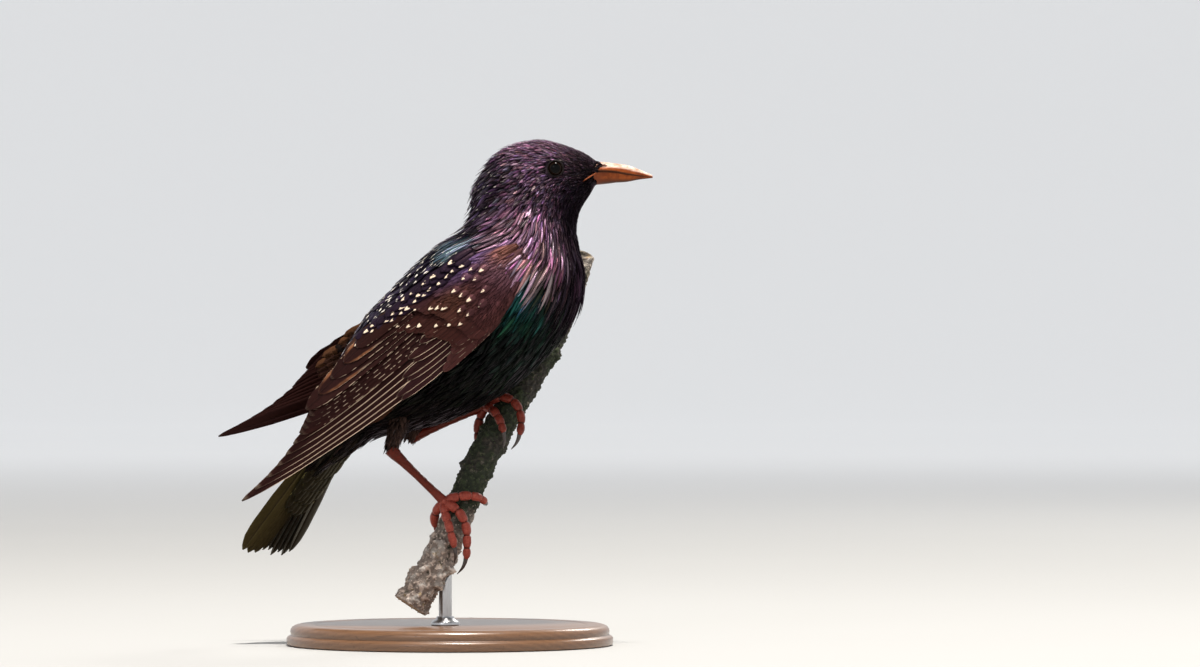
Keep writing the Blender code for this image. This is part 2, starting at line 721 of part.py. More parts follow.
def make_foot(table, word):
    leg = LEGS[word]
    grip = grip_distance(table, leg["grip_z"])
    palm_lift = 2.3 + GAP
    palm = branch_point(table, grip, leg["palm_turn"], palm_lift)
    foot = ball("foot_" + word, palm, (2.3, 2.3, 2.3), 8, 12, "leg_skin")
    toes = []
    for toe, route in TOES[word].items():
        radii, points = [], []
        samples = 8
        for i in range(samples):
            f = i / (samples - 1)
            step, turn, rise = smooth_row(route, f * (len(route) - 1))
            radius = TOE_RADIUS * (1.0 - 0.26 * f) * (1.0 + 0.07 * math.sin(f * 20.0))
            if i in (0, samples - 1):
                radius *= 0.72
            lift = rise + GAP + 0.15 + (radius / 0.72 if i in (0, samples - 1) else radius)
            points.append(branch_point(table, grip + step, leg["palm_turn"] + turn, lift))
            radii.append(radius)
        toes.append(lofted(tube_rings(points, radii, 8), "toe"))
        make_claw(table, word, toe, route, grip, leg["palm_turn"])
    fuse(foot, toes)
    return foot, palm


def make_claw(table, word, toe, route, grip, palm_turn):
    end_step, end_turn, rise = route[-1]
    before_step, before_turn, _ = route[-2]
    run = math.hypot(end_step - before_step, math.radians(end_turn - before_turn) * 7.5)
    step_rate = (end_step - before_step) / run
    turn_rate = (end_turn - before_turn) / run
    points, radii = [], []
    for f, lift, radius in ((0.0, 1.25, 0.85), (0.3, 1.75, 0.78), (0.62, 1.7, 0.56), (1.0, 0.75, 0.16)):
        reach = 1.05 + 5.6 * f
        points.append(branch_point(table, grip + end_step + step_rate * reach,
                                   palm_turn + end_turn + turn_rate * reach * (1 - 0.15 * f),
                                   lift + GAP + rise * (1 - 0.35 * f)))
        radii.append(radius)
    lofted(tube_rings(points, radii, 8), "claw_" + toe + "_" + word, "claw_horn")


def make_leg(table, word):
    foot, palm = make_foot(table, word)
    leg = LEGS[word]
    hip, heel = Vector(leg["hip"]), Vector(leg["heel"])
    down = (palm - heel).normalized()
    shank_start, shank_end = heel + down * 0.6, palm - down * (2.3 + GAP)
    points = [shank_start.lerp(shank_end, i / 5) for i in range(6)]
    radii = [SHANK_RADIUS * k for k in (1.15, 0.95, 0.88, 0.88, 0.92, 1.0)]
    lofted(tube_rings(points, radii, 10), "tarsus_" + word, "leg_skin")
    shank_space = [shank_start, shank_end + down * GAP]
    cut(foot, lofted(tube_rings(shank_space, [SHANK_RADIUS + GAP] * 2, 10), "shank_space"))
    thigh_way = (heel - hip).normalized()
    thigh_end = heel - thigh_way * 0.4
    points = [hip.lerp(thigh_end, i / 5) for i in range(6)]
    radii = [3.9, 3.8, 3.5, 3.0, 2.5, 2.1]
    thigh = lofted(tube_rings(points, radii, 12), "thigh_" + word, "plumage")
    cut(thigh, grown_body("body_space"))
    knee_space = lofted(tube_rings([shank_start - down * 3.0, shank_start + down * 6.0],
                                   [SHANK_RADIUS * 1.15 + GAP] * 2, 10), "knee_space")
    cut(thigh, knee_space)


# Stand

def make_stand(table):
    bm = bmesh.new()
    bmesh.ops.create_cone(bm, cap_ends=True, cap_tris=False, segments=48, radius1=BASE_RADIUS,
                          radius2=BASE_RADIUS, depth=BASE_HEIGHT,
                          matrix=Matrix.Translation((0, 0, BASE_HEIGHT / 2)))
    top = [e for e in bm.edges if all(v.co.z > BASE_HEIGHT - 0.1 for v in e.verts)]
    bmesh.ops.bevel(bm, geom=top, offset=BASE_BEVEL, segments=2, affect="EDGES", profile=0.6)
    finish(bm, "stand_base", "base_wood")
    rod = lofted(tube_rings([(ROD_X, ROD_Y, BASE_HEIGHT + GAP), (ROD_X, ROD_Y, ROD_TOP)],
                            [ROD_RADIUS] * 2, 16), "stand_rod", "rod_steel")
    cut(rod, grown_perch(table, "perch_space"))


def main():
    remove_objects(list(bpy.data.objects))
    make_head()
    make_neck()
    body_length(NECK_END, TORSO_END, 13, "torso", "plumage")
    make_eyes()
    make_bill()
    make_wing(-1, "right")
    make_wing(1, "left")
    make_tail()
    table = branch_table()
    make_perch(table)
    for word in ("right", "left"):
        make_leg(table, word)
    make_stand(table)


main()
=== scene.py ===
import math

import bpy
import numpy as np
from mathutils import Matrix, Vector, noise


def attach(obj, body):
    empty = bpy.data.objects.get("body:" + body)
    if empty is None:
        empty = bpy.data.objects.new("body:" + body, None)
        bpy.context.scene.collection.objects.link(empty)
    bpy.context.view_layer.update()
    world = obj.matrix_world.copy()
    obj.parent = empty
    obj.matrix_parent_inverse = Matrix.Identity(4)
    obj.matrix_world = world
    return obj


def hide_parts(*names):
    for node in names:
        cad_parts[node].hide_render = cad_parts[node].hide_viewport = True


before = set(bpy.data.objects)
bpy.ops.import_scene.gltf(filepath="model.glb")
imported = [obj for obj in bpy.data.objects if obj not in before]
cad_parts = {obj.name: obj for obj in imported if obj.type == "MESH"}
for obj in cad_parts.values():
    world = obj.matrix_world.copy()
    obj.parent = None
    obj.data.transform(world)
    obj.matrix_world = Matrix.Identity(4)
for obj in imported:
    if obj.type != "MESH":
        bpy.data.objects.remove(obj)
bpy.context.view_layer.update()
print("frame loaded")

mm = 0.001
rng = np.random.default_rng(27)
tau = math.tau


view = {
    "place": (0.057, -2.533, 0.1184),
    "lens": 200.0,
    "sensor": 36.0,
}
studio = {
    "floorRadius": 9.0,
    "wallHeight": 5.0,
    "floorColour": (0.46, 0.455, 0.445),
    "wallGlow": 0.52,
    "skyColour": (0.90, 0.92, 0.95),
    "skyStrength": 0.20,
    # name: place, aim, size, watts, colour
    "lamps": {
        "key": ((0.15, -0.28, 2.1), (0.0, 0.0, 0.12), 0.28, 68.0, (1.0, 0.96, 0.90)),
        "front": ((-1.0, -2.1, 1.3), (0.0, 0.0, 0.12), 1.0, 6.0, (0.95, 0.97, 1.0)),
        "back": ((0.9, 1.7, 1.3), (0.0, 0.0, 0.12), 0.6, 12.0, (1.0, 0.98, 0.92)),
    },
}


def makeCamera():
    data = bpy.data.cameras.new("camera")
    data.lens, data.sensor_width = view["lens"], view["sensor"]
    data.clip_start, data.clip_end = 0.05, 60.0
    camera = bpy.data.objects.new("camera", data)
    camera.location = view["place"]
    camera.rotation_euler = (math.radians(90), 0, 0)
    bpy.context.scene.collection.objects.link(camera)
    bpy.context.scene.camera = camera


def makeLamps():
    for name, (place, aim, size, watts, colour) in studio["lamps"].items():
        data = bpy.data.lights.new(name, "AREA")
        data.shape, data.size, data.energy, data.color = "DISK", size, watts, colour
        lamp = bpy.data.objects.new(name, data)
        lamp.location = place
        lamp.rotation_euler = (Vector(aim) - Vector(place)).to_track_quat("-Z", "Y").to_euler()
        bpy.context.scene.collection.objects.link(lamp)
    world = bpy.data.worlds.new("studio")
    world.use_nodes = True
    sky = world.node_tree.nodes["Background"]
    sky.inputs["Color"].default_value = (*studio["skyColour"], 1)
    sky.inputs["Strength"].default_value = studio["skyStrength"]
    bpy.context.scene.world = world
    bpy.context.scene.view_settings.view_transform = "Standard"


def newMaterial(name):
    material = bpy.data.materials.new(name)
    material.use_nodes = True
    tree = material.node_tree
    return material, tree, tree.nodes["Principled BSDF"]


def put(value, socket):
    if isinstance(value, bpy.types.NodeSocket):
        socket.id_data.links.new(value, socket)
    elif isinstance(value, tuple) and socket.type == "RGBA" and len(value) == 3:
        socket.default_value = (*value, 1)
    else:
        socket.default_value = value


def addNode(tree, kind, settings=None, **inputs):
    made = tree.nodes.new("ShaderNode" + kind)
    for key, value in (settings or {}).items():
        setattr(made, key, value)
    for key, value in inputs.items():
        put(value, made.inputs[key])
    return made


# a node in the tree that its values come from, with the values put in the numbered sockets
def nodeFor(kind, settings, values):
    tree = next(v.id_data for v in values.values() if isinstance(v, bpy.types.NodeSocket))
    made = addNode(tree, kind, settings)
    for k, value in values.items():
        if value is not None:
            put(value, made.inputs[k])
    return made.outputs


def calc(how, a, b=None, c=None, clamp=False):
    return nodeFor("Math", {"operation": how, "use_clamp": clamp}, {0: a, 1: b, 2: c})[0]


def times(a, b, clamp=False):
    return calc("MULTIPLY", a, b, clamp=clamp)


def plus(a, b):
    return calc("ADD", a, b)


# a times b, plus c
def scaled(a, b, c):
    return calc("MULTIPLY_ADD", a, b, c)


# eases from first to last while value goes from low to high
def between(value, low, high, first=0.0, last=1.0):
    return nodeFor("MapRange", {"interpolation_type": "SMOOTHSTEP"},
                   {0: value, 1: low, 2: high, 3: first, 4: last})[0]


def blend(share, a, b, how="MIX"):
    return nodeFor("Mix", {"data_type": "RGBA", "blend_type": how}, {0: share, 6: a, 7: b})[2]


def shaded(colour, shade):
    return blend(1.0, colour, shade, "MULTIPLY")


def noiseAt(place, scale, detail=3.0, roughness=0.55, stretch=None):
    if stretch:
        place = addNode(place.id_data, "Mapping", Vector=place, Scale=stretch).outputs[0]
    return addNode(place.id_data, "TexNoise", Vector=place, Scale=scale, Detail=detail,
                   Roughness=roughness).outputs[0]


def bumpFrom(height, strength, distance):
    return addNode(height.id_data, "Bump", Height=height, Strength=strength, Distance=distance).outputs[0]


def objectPlace(tree):
    return addNode(tree, "TexCoord").outputs["Object"]


def xyzOf(vector):
    return addNode(vector.id_data, "SeparateXYZ", Vector=vector).outputs


# colour channels and alpha of a painted attribute
def painted(tree, name):
    made = addNode(tree, "Attribute", {"attribute_name": name}).outputs
    return addNode(tree, "SeparateColor", Color=made["Color"]).outputs, made["Alpha"]


def squared(value):
    return calc("POWER", value, 2.0)


socketNames = {
    "colour": "Base Color", "roughness": "Roughness", "normal": "Normal",
    "metallic": "Metallic", "ior": "IOR",
    "coat": "Coat Weight", "coatRoughness": "Coat Roughness", "specular": "Specular IOR Level",
    "tint": "Specular Tint", "glow": "Emission Color", "glowStrength": "Emission Strength",
    "subsurface": "Subsurface Weight", "subsurfaceReach": "Subsurface Radius",
}


def finishWith(shader, **values):
    for key, value in values.items():
        put(value, shader.inputs[socketNames[key]])


# feather finish: the vane map gives the barbs, fringe, tip spot and a painted shade towards the root, the
# tone attribute the colour
def plumageMaterial(name, look):
    material, tree, shader = newMaterial(name)
    across, up, _ = xyzOf(addNode(tree, "UVMap", {"uv_map": "vane"}).outputs[0])
    side = calc("ABSOLUTE", scaled(across, 2.0, -1.0))
    tone = addNode(tree, "Attribute", {"attribute_name": "tone"}).outputs
    (fringe, spot, luck), gloss = painted(tree, "mark")
    place = objectPlace(tree)
    # the tone's alpha holds the feather's length, so barbs keep one spacing
    phase = scaled(side, -look["sweep"], times(times(up, look["barbs"]), tone["Alpha"]))
    barbs = calc("SINE", plus(phase, times(luck, 20.0)))
    grain = noiseAt(place, look["grain"], 2.0)
    fleck = noiseAt(place, look["grain"] * 0.22, 2.0)
    shade = plus(plus(scaled(barbs, look["barbShade"], 0.62), times(grain, 0.45)), times(fleck, 0.32))
    # painted shade: each feather darkens towards its root, under the feathers that overlap it
    colour = shaded(shaded(tone["Color"], shade), between(up, .05, .75, look["paintedRootShade"], 1.0))
    # the fringe; above 1 it is a broad web, which lies towards the tip only
    wobble = scaled(fleck, look["wobble"], look["wobble"] / -2)
    edgeAt = plus(side, wobble)
    broad = calc("SUBTRACT", fringe, 1.0, clamp=True)
    onward = between(up, .42, .80)
    bare = times(between(broad, 0.0, .1), calc("SUBTRACT", 1.0, onward))
    broad = times(broad, onward)
    fringe = calc("MINIMUM", fringe, 1.0)
    low = plus(scaled(broad, -.62, look["fringeAt"]), scaled(fringe, -look["thin"], look["thin"]))
    edge = between(edgeAt, low, plus(low, scaled(broad, .40, look["fringeSoft"])))
    # a weak fringe is worn to dashes, a strong one is whole
    dash = between(noiseAt(place, look["grain"] * 0.55, 1.0), .50, .56)
    whole = calc("MAXIMUM", dash, between(fringe, .70, .85))
    edge = times(times(times(edge, whole), scaled(fringe, .8, .2)), between(fringe, .02, .08))
    web = between(broad, 0.0, .3)
    worn = times(web, between(fleck, .40, .58, .55, 0.0))
    edge = times(edge, calc("SUBTRACT", 1.0, calc("MAXIMUM", worn, bare)))
    edge = times(edge, between(up, .82, .95, 1.0, .15))
    edge = calc("MAXIMUM", edge, times(between(plus(up, wobble), 0.965, 0.99), times(fringe, .12)))
    colour = blend(edge, colour, blend(web, look["fringeColour"], look["webColour"]))
    colour = blend(times(between(side, 0.035, 0.09, 1.0, 0.0), look["shaft"]), colour,
                   look["shaftColour"])
    # the pale spot at the tip
    blot = scaled(noiseAt(place, look["blot"], 1.0), .34, -.17)
    spotFrom = scaled(luck, -.09, look["spotAt"])
    tip = between(plus(scaled(side, look["heart"], up), blot), spotFrom, plus(spotFrom, .04))
    spotReach = plus(scaled(luck, .13, look["spotWide"]), blot)
    inside = between(side, spotReach, plus(spotReach, .12), 1.0, 0.0)
    inside = times(inside, between(up, .985, 1.0, 1.0, .2))
    dot = times(times(tip, inside), spot, clamp=True)
    plain = calc("SUBTRACT", 1.0, calc("MAXIMUM", edge, dot), clamp=True)
    finishWith(shader, colour=blend(dot, colour, look["spotColour"]), metallic=times(gloss, plain),
               roughness=scaled(grain, 0.22, look["roughness"] - 0.08),
               normal=bumpFrom(plus(times(barbs, 0.35), grain), look["bump"], 0.00010), coat=look["coat"],
               coatRoughness=0.28, specular=look["sheen"], tint=look["sheenColour"])
    return material


def stacked(*parts):
    return np.stack(parts, -1)


def unit(v):
    return v / np.linalg.norm(v, axis=-1, keepdims=True)


# numbers at t on a smooth curve through evenly numbered rows
def smoothRows(rows, t):
    rows = np.asarray(rows, float)
    t = np.clip(np.asarray(t, float), 0.0, len(rows) - 1.0)
    i = np.minimum(t.astype(int), len(rows) - 2)
    f = (t - i)[..., None]
    before, here = rows[np.maximum(i - 1, 0)], rows[i]
    after, beyond = rows[i + 1], rows[np.minimum(i + 2, len(rows) - 1)]
    return ((2 * f ** 3 - 3 * f ** 2 + 1) * here + (f ** 3 - 2 * f ** 2 + f) * (after - before) / 2
            + (3 * f ** 2 - 2 * f ** 3) * after + (f ** 3 - f ** 2) * (beyond - here) / 2)


# value at x on an eased curve through (x, value) pairs
def curveAt(pairs, x):
    xs, ys = np.array(pairs, float).T
    x = np.clip(x, xs[0], xs[-1])
    slopes = np.gradient(ys, xs)
    i = np.clip(np.searchsorted(xs, x, side="right") - 1, 0, len(xs) - 2)
    span = xs[i + 1] - xs[i]
    f = (x - xs[i]) / span
    return ((2 * f ** 3 - 3 * f ** 2 + 1) * ys[i] + (f ** 3 - 2 * f ** 2 + f) * span * slopes[i]
            + (3 * f ** 2 - 2 * f ** 3) * ys[i + 1] + (f ** 3 - f ** 2) * span * slopes[i + 1])


def lineAt(pairs, x):
    xs, ys = np.array(pairs, float).T
    return np.interp(x, xs, ys)


# one object from arrays in millimetres; faces is a list of equal-sided face arrays
def meshPiece(name, points, faces, material, replaced=(), maps=None, paints=None, sharp=0):
    mesh = bpy.data.meshes.new(name)
    mesh.vertices.add(len(points))
    mesh.vertices.foreach_set("co", (np.asarray(points) * mm).astype(np.float32).ravel())
    flat = np.concatenate([f.ravel() for f in faces])
    sizes = np.concatenate([np.full(len(f), f.shape[1]) for f in faces])
    mesh.loops.add(len(flat))
    mesh.polygons.add(len(sizes))
    mesh.polygons.foreach_set("loop_start", np.concatenate([[0], np.cumsum(sizes)[:-1]]).astype(np.int32))
    mesh.polygons.foreach_set("vertices", flat.astype(np.int32))
    for key, places in (maps or {}).items():
        layer = mesh.uv_layers.new(name=key)
        layer.data.foreach_set("uv", places[flat].astype(np.float32).ravel())
    for key, colours in (paints or {}).items():
        layer = mesh.color_attributes.new(key, "FLOAT_COLOR", "POINT")
        layer.data.foreach_set("color", colours.astype(np.float32).ravel())
    mesh.update(calc_edges=True)
    mesh.validate()
    mesh.shade_smooth()
    if sharp:
        mesh.set_sharp_from_angle(angle=math.radians(sharp))
    mesh.materials.append(material)
    obj = bpy.data.objects.new(name, mesh)
    bpy.context.scene.collection.objects.link(obj)
    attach(obj, "root")
    if replaced:
        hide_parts(*replaced)
    print(name, sum(len(f) * (f.shape[1] - 2) for f in faces), "triangles")
    return obj


# quads of a closed tube of rings, with a fan at each end; two end points follow the rings
def ringFaces(rows, sides):
    i, k = np.meshgrid(np.arange(rows - 1), np.arange(sides), indexing="ij")
    m = (k + 1) % sides
    a, b, c, d = i * sides + k, i * sides + m, (i + 1) * sides + m, (i + 1) * sides + k
    quads = stacked(a, b, c, d).reshape(-1, 4)
    k = np.arange(sides)
    m = (k + 1) % sides
    first, last = rows * sides, rows * sides + 1
    fans = np.concatenate([
        stacked(m, k, np.full(sides, first)),
        stacked(k + (rows - 1) * sides, m + (rows - 1) * sides, np.full(sides, last))])
    return quads, fans


# points and faces of a tube from an array of rings, turned to face outward
def closedTube(rings):
    rows, sides = rings.shape[:2]
    ends = np.stack([rings[0].mean(0), rings[-1].mean(0)])
    points = np.concatenate([rings.reshape(-1, 3), ends])
    quads, fans = ringFaces(rows, sides)
    solid = 0.0
    for faces in (quads[:, :3], quads[:, [0, 2, 3]], fans):
        a, b, c = points[faces[:, 0]], points[faces[:, 1]], points[faces[:, 2]]
        solid += np.einsum("ij,ij->i", a, np.cross(b, c)).sum()
    if solid < 0:
        quads, fans = quads[:, ::-1], fans[:, ::-1]
    return points, [quads, fans]


# quads of rings that close on themselves end to end
def loopFaces(rows, sides):
    i, k = np.meshgrid(np.arange(rows), np.arange(sides), indexing="ij")
    n, m = (i + 1) % rows, (k + 1) % sides
    return stacked(i * sides + k, i * sides + m, n * sides + m, n * sides + k).reshape(-1, 4)


# values of a tube's rings, with those of its two end points
def withEnds(values):
    return np.concatenate([values.reshape(-1, values.shape[-1]), values[0].mean(0)[None],
                           values[-1].mean(0)[None]])


# points, faces and values of several closed tubes, each given as its rings and their values
def joinTubes(parts):
    tubes = [closedTube(part[0]) for part in parts]
    starts = np.cumsum([0] + [len(points) for points, _ in tubes])
    faces = [np.concatenate([faces[k] + start for (_, faces), start in zip(tubes, starts)])
             for k in (0, 1)]
    values = zip(*([withEnds(v) for v in part[1:]] for part in parts))
    return np.concatenate([points for points, _ in tubes]), faces, [np.concatenate(v) for v in values]


# rings round a path, from their reach along two directions
def ringsRound(path, first, second, onFirst, onSecond):
    return path[:, None] + first[:, None] * onFirst[..., None] + second[:, None] * onSecond[..., None]


# along, across and up directions for a path, turned as little as it allows
def pathFrames(points):
    along = unit(np.gradient(points, axis=0))
    across = np.zeros_like(points)
    start = np.array([0.0, 1.0, 0.0]) if abs(along[0][1]) < 0.9 else np.array([1.0, 0.0, 0.0])
    for i, way in enumerate(along):
        start = start - way * start.dot(way)
        start = start / np.linalg.norm(start)
        across[i] = start
    return along, across, np.cross(along, across)


vaneShapes = {
    "lance": [(0, .42), (.22, .92), (.45, 1), (.68, .78), (.85, .42), (1, .05)],
    "round": [(0, .45), (.3, .9), (.65, 1), (.84, .86), (.94, .55), (1, .10)],
    "flight": [(0, .4), (.12, .8), (.45, 1), (.82, .97), (.92, .80), (.97, .55), (1, .14)],
    "primary": [(0, .4), (.15, .92), (.5, 1), (.8, .82), (.92, .52), (.98, .26), (1, .08)],
    "tail": [(0, .3), (.2, .7), (.6, 1), (.82, .98), (.91, .80), (.97, .44), (1, .06)],
}
fewSteps = np.array([0, .2, .45, .7, .88, 1.0])
moreSteps = np.array([0, .15, .32, .5, .66, .8, .92, 1.0])
manySteps = np.concatenate([np.linspace(0, .8, 17), np.linspace(.84, 1, 8)])
fewAcross = np.array([-1, 0, 1.0])
moreAcross = np.array([-1, -.5, 0, .5, 1.0])
tuft = (.003, .003)     # size of a small feather's patch on the bake map
manyAcross = np.array([-1, -.97, -.7, -.35, -.07, 0, .07, .35, .7, .97, 1.0])


# millimetres per unit of t and of s on a sheet
def sheetScale(sheet, t, s):
    step = 0.01
    alongT = np.linalg.norm(sheet(t + step, s, 0) - sheet(t - step, s, 0), axis=-1) / (2 * step)
    alongS = np.linalg.norm(sheet(t, s + step, 0) - sheet(t, s - step, 0), axis=-1) / (2 * step)
    return np.maximum(alongT, 1e-3), np.maximum(alongS, 1e-3)


# closed vanes lying on a sheet, each from start to end in sheet places, as one batch of arrays
def growVanes(sheet, start, end, width, lift, shape, steps, across, tone, mark, bake, camber=0.12,
              tilt=0.0, bow=0.0, skew=0.0, thick=0.16, ease=0.6, ridge=0.0):
    start, end = np.asarray(start, float), np.asarray(end, float)
    count, rows, cols = len(start), len(steps), len(across)
    width, bow, tilt, skew = (np.broadcast_to(v, count).astype(float) for v in (width, bow, tilt, skew))
    lift = np.broadcast_to(lift, (count, 2)).astype(float)
    middle = (start + end) / 2
    scaleT, scaleS = sheetScale(sheet, middle[:, 0], middle[:, 1])
    way = end - start
    onT, onS = way[:, 0] * scaleT, way[:, 1] * scaleS
    length = np.hypot(onT, onS)
    perpT, perpS = -onS / length / scaleT, onT / length / scaleS
    half = width[:, None] / 2 * lineAt(vaneShapes[shape], steps)[None]
    lean = 1 + skew[:, None] * np.sign(across)[None]
    offset = half[:, :, None] * (across[None, None] * lean[:, None])
    offset = offset + (bow[:, None] * 4 * steps * (1 - steps))[:, :, None]
    t = (start[:, 0, None] + way[:, 0, None] * steps)[:, :, None] + perpT[:, None, None] * offset
    s = (start[:, 1, None] + way[:, 1, None] * steps)[:, :, None] + perpS[:, None, None] * offset
    rise = lift[:, 0, None] + (lift[:, 1] - lift[:, 0])[:, None] * steps ** ease
    h = rise[:, :, None] + camber * half[:, :, None] * (1 - across ** 2)
    h = h - np.tan(tilt)[:, None, None] * half[:, :, None] * across
    h = h + ridge * np.maximum(0, 1 - np.abs(across) / 0.06)
    top = sheet(t, s, h + thick / 2 * (1 - across ** 2))
    inner = (slice(None), slice(1, -1), slice(1, -1))
    low = sheet(t[inner], s[inner], h[inner] - thick / 2)
    points = np.concatenate([top.reshape(count, -1, 3), low.reshape(count, -1, 3)], 1)
    upper = np.arange(rows * cols).reshape(rows, cols)
    lower = upper.copy()
    lower[1:-1, 1:-1] = rows * cols + np.arange((rows - 2) * (cols - 2)).reshape(rows - 2, cols - 2)
    quads = np.concatenate([
        stacked(grid[:-1, :-1], grid[:-1, 1:], grid[1:, 1:], grid[1:, :-1])[..., ::step].reshape(-1, 4)
        for grid, step in ((upper, 1), (lower, -1))])
    # turn the faces outward, feather by feather
    r, c = rows // 2, cols // 2
    normal = np.cross(top[:, r, c] - top[:, r, c - 1], top[:, r, c] - top[:, r - 1, c])
    outward = sheet(t[:, r, c], s[:, r, c], h[:, r, c] + 1) - top[:, r, c]
    flip = np.einsum("ij,ij->i", normal, outward) < 0
    faces = quads[None] + (np.arange(count) * points.shape[1])[:, None, None]
    faces = np.where(flip[:, None, None], faces[:, :, ::-1], faces)
    vane = np.zeros((points.shape[1], 2))
    vane[:rows * cols, 0] = np.tile(across * 0.5 + 0.5, rows)
    vane[:rows * cols, 1] = np.repeat(steps, cols)
    vane[rows * cols:, 0] = np.tile(across[1:-1] * 0.5 + 0.5, rows - 2)
    vane[rows * cols:, 1] = np.repeat(steps[1:-1], cols - 2)
    centre, size = bake
    size = np.broadcast_to(size, (count, 2))
    baked = centre[:, None] + (vane[None] - 0.5) * size[:, None]
    mark = np.repeat(np.asarray(mark, float)[:, None], points.shape[1], 1)
    mark[:, rows * cols:, :2] = 0       # the underside stays plain
    if cols > 9:
        rim = (np.arange(rows)[:, None] * cols + np.array([0, cols - 1])).ravel()
        mark[:, rim, :2] = 0
    tone = np.repeat(np.asarray(tone, float)[:, None], points.shape[1], 1)
    return {
        "points": points.reshape(-1, 3), "faces": faces.reshape(-1, 4),
        "vane": np.tile(vane, (count, 1)), "bake": baked.reshape(-1, 2),
        "tone": np.concatenate([tone, np.tile((length / 100)[:, None, None], (1, points.shape[1], 1))],
                               -1).reshape(-1, 4),
        "mark": mark.reshape(-1, 4),
    }


# how strong fringe, spot and gloss are on each feather, with its luck for the finish
def marks(count, fringe, spot, gloss):
    return stacked(*(np.broadcast_to(v, count) for v in (fringe, spot, rng.random(count), gloss)))


def vanePiece(name, batches, material, replaced=()):
    start, faces = 0, []
    for batch in batches:
        faces.append(batch["faces"] + start)
        start += len(batch["points"])
    joined = {key: np.concatenate([b[key] for b in batches])
              for key in ("points", "vane", "bake", "tone", "mark")}
    return meshPiece(name, joined["points"], [np.concatenate(faces)], material, replaced,
                     {"vane": joined["vane"], "OFBake": joined["bake"]},
                     {"tone": joined["tone"], "mark": joined["mark"]})


body = {
    # back x z, belly x z, half width
    "rows": [(55.4, 183.9, 55.2, 174.7, 4.5), (49.0, 187.9, 52.6, 170.4, 7.9),
             (34.4, 192.0, 49.6, 165.7, 10.9), (21.3, 188.9, 48.3, 161.1, 12.4),
             (14.1, 181.6, 47.9, 157.3, 13.6), (9.9, 172.9, 48.3, 153.9, 15.2),
             (8.6, 163.2, 49.0, 149.3, 17.4), (4.4, 156.8, 50.2, 142.5, 20.2),
             (-3.8, 151.6, 49.8, 134.5, 23.0), (-13.3, 144.0, 46.4, 124.3, 25.0),
             (-22.4, 134.5, 37.2, 111.0, 25.5), (-30.8, 125.8, 22.8, 97.7, 24.0),
             (-37.2, 115.9, 9.1, 89.7, 21.0), (-41.8, 108.3, -3.8, 84.4, 17.4),
             (-45.6, 100.7, -17.5, 80.9, 13.8), (-48.6, 95.0, -28.5, 78.7, 10.6),
             (-53.2, 86.5, -36.9, 73.6, 7.4), (-57.2, 78.5, -45.4, 68.4, 4.4),
             (-61.0, 70.6, -53.0, 63.2, 2.4)],
    "nose": (59.4, 184.0, 57.0, 174.6, 4.1),     # the ring at t -1, on the bill's base
    "skinEnd": 17.0,
    "skinRows": 150,
    "skinSides": 96,
    "coatDepth": 1.3,
    "eyeClear": 3.35,
}
# feather sizes in mm along the body: t, at the back, at the side, at the belly
coat = {
    "faceFrom": -.78, "faceTo": -.05, "from": 0.02, "to": 17.2, "lastTip": 17.95,
    "lengthVary": (.85, 1.15), "widthVary": (.88, 1.12), "tipVary": (.2, 1.7),
    "gloss": {"head": .66, "back": .22, "below": .40},
    # place, reach and angle of the strands that sweep towards the back: t, degrees
    "sweepAt": (5.0, 62), "sweepReach": (1.7, 40), "sweepAngle": .80,
    "length": [(0, 2.0, 1.9, 1.9), (1, 3.0, 2.4, 2.4), (2.5, 4.2, 3.2, 3.4), (3.8, 5.6, 4.6, 6.0),
               (4.8, 7.6, 8.0, 11.0), (6, 9.5, 12.0, 14.5), (7, 10.5, 14.0, 16.0),
               (8.2, 10.0, 12.5, 14.5), (9.5, 9.5, 11.5, 13.0), (12, 10.5, 12.0, 12.0),
               (15, 11.5, 12.0, 12.5), (17.4, 9.0, 9.0, 10.0)],
    "width": [(0, .80, .80, .80), (1, .95, .90, .95), (2.5, 1.15, 1.0, 1.05), (4, 1.35, 1.25, 1.3),
              (5.5, 1.6, 1.6, 1.5), (7, 2.1, 1.9, 1.8), (8.2, 3.3, 2.2, 2.0), (9.5, 3.8, 2.4, 2.2),
              (12, 4.2, 2.5, 2.3), (15, 4.4, 2.9, 2.7), (17.4, 3.4, 2.6, 2.4)],
    "row": [(0, .62), (1, .75), (2.5, .95), (4, 1.3), (5.5, 1.9), (7, 2.3), (8.2, 2.7), (9.5, 3.0),
            (12, 3.2), (15, 3.2), (17.4, 2.6)],
    "spread": 0.62,
    "tip": [(0, .10, .10, .10), (2.2, .22, .12, .2), (3.6, 1.3, .4, .4), (5.2, 1.9, .9, 1.1),
            (7, .9, 1.2, 1.5), (8.2, .5, .7, .9), (10, .4, .5, .6), (17.4, .5, .5, .6)],
}
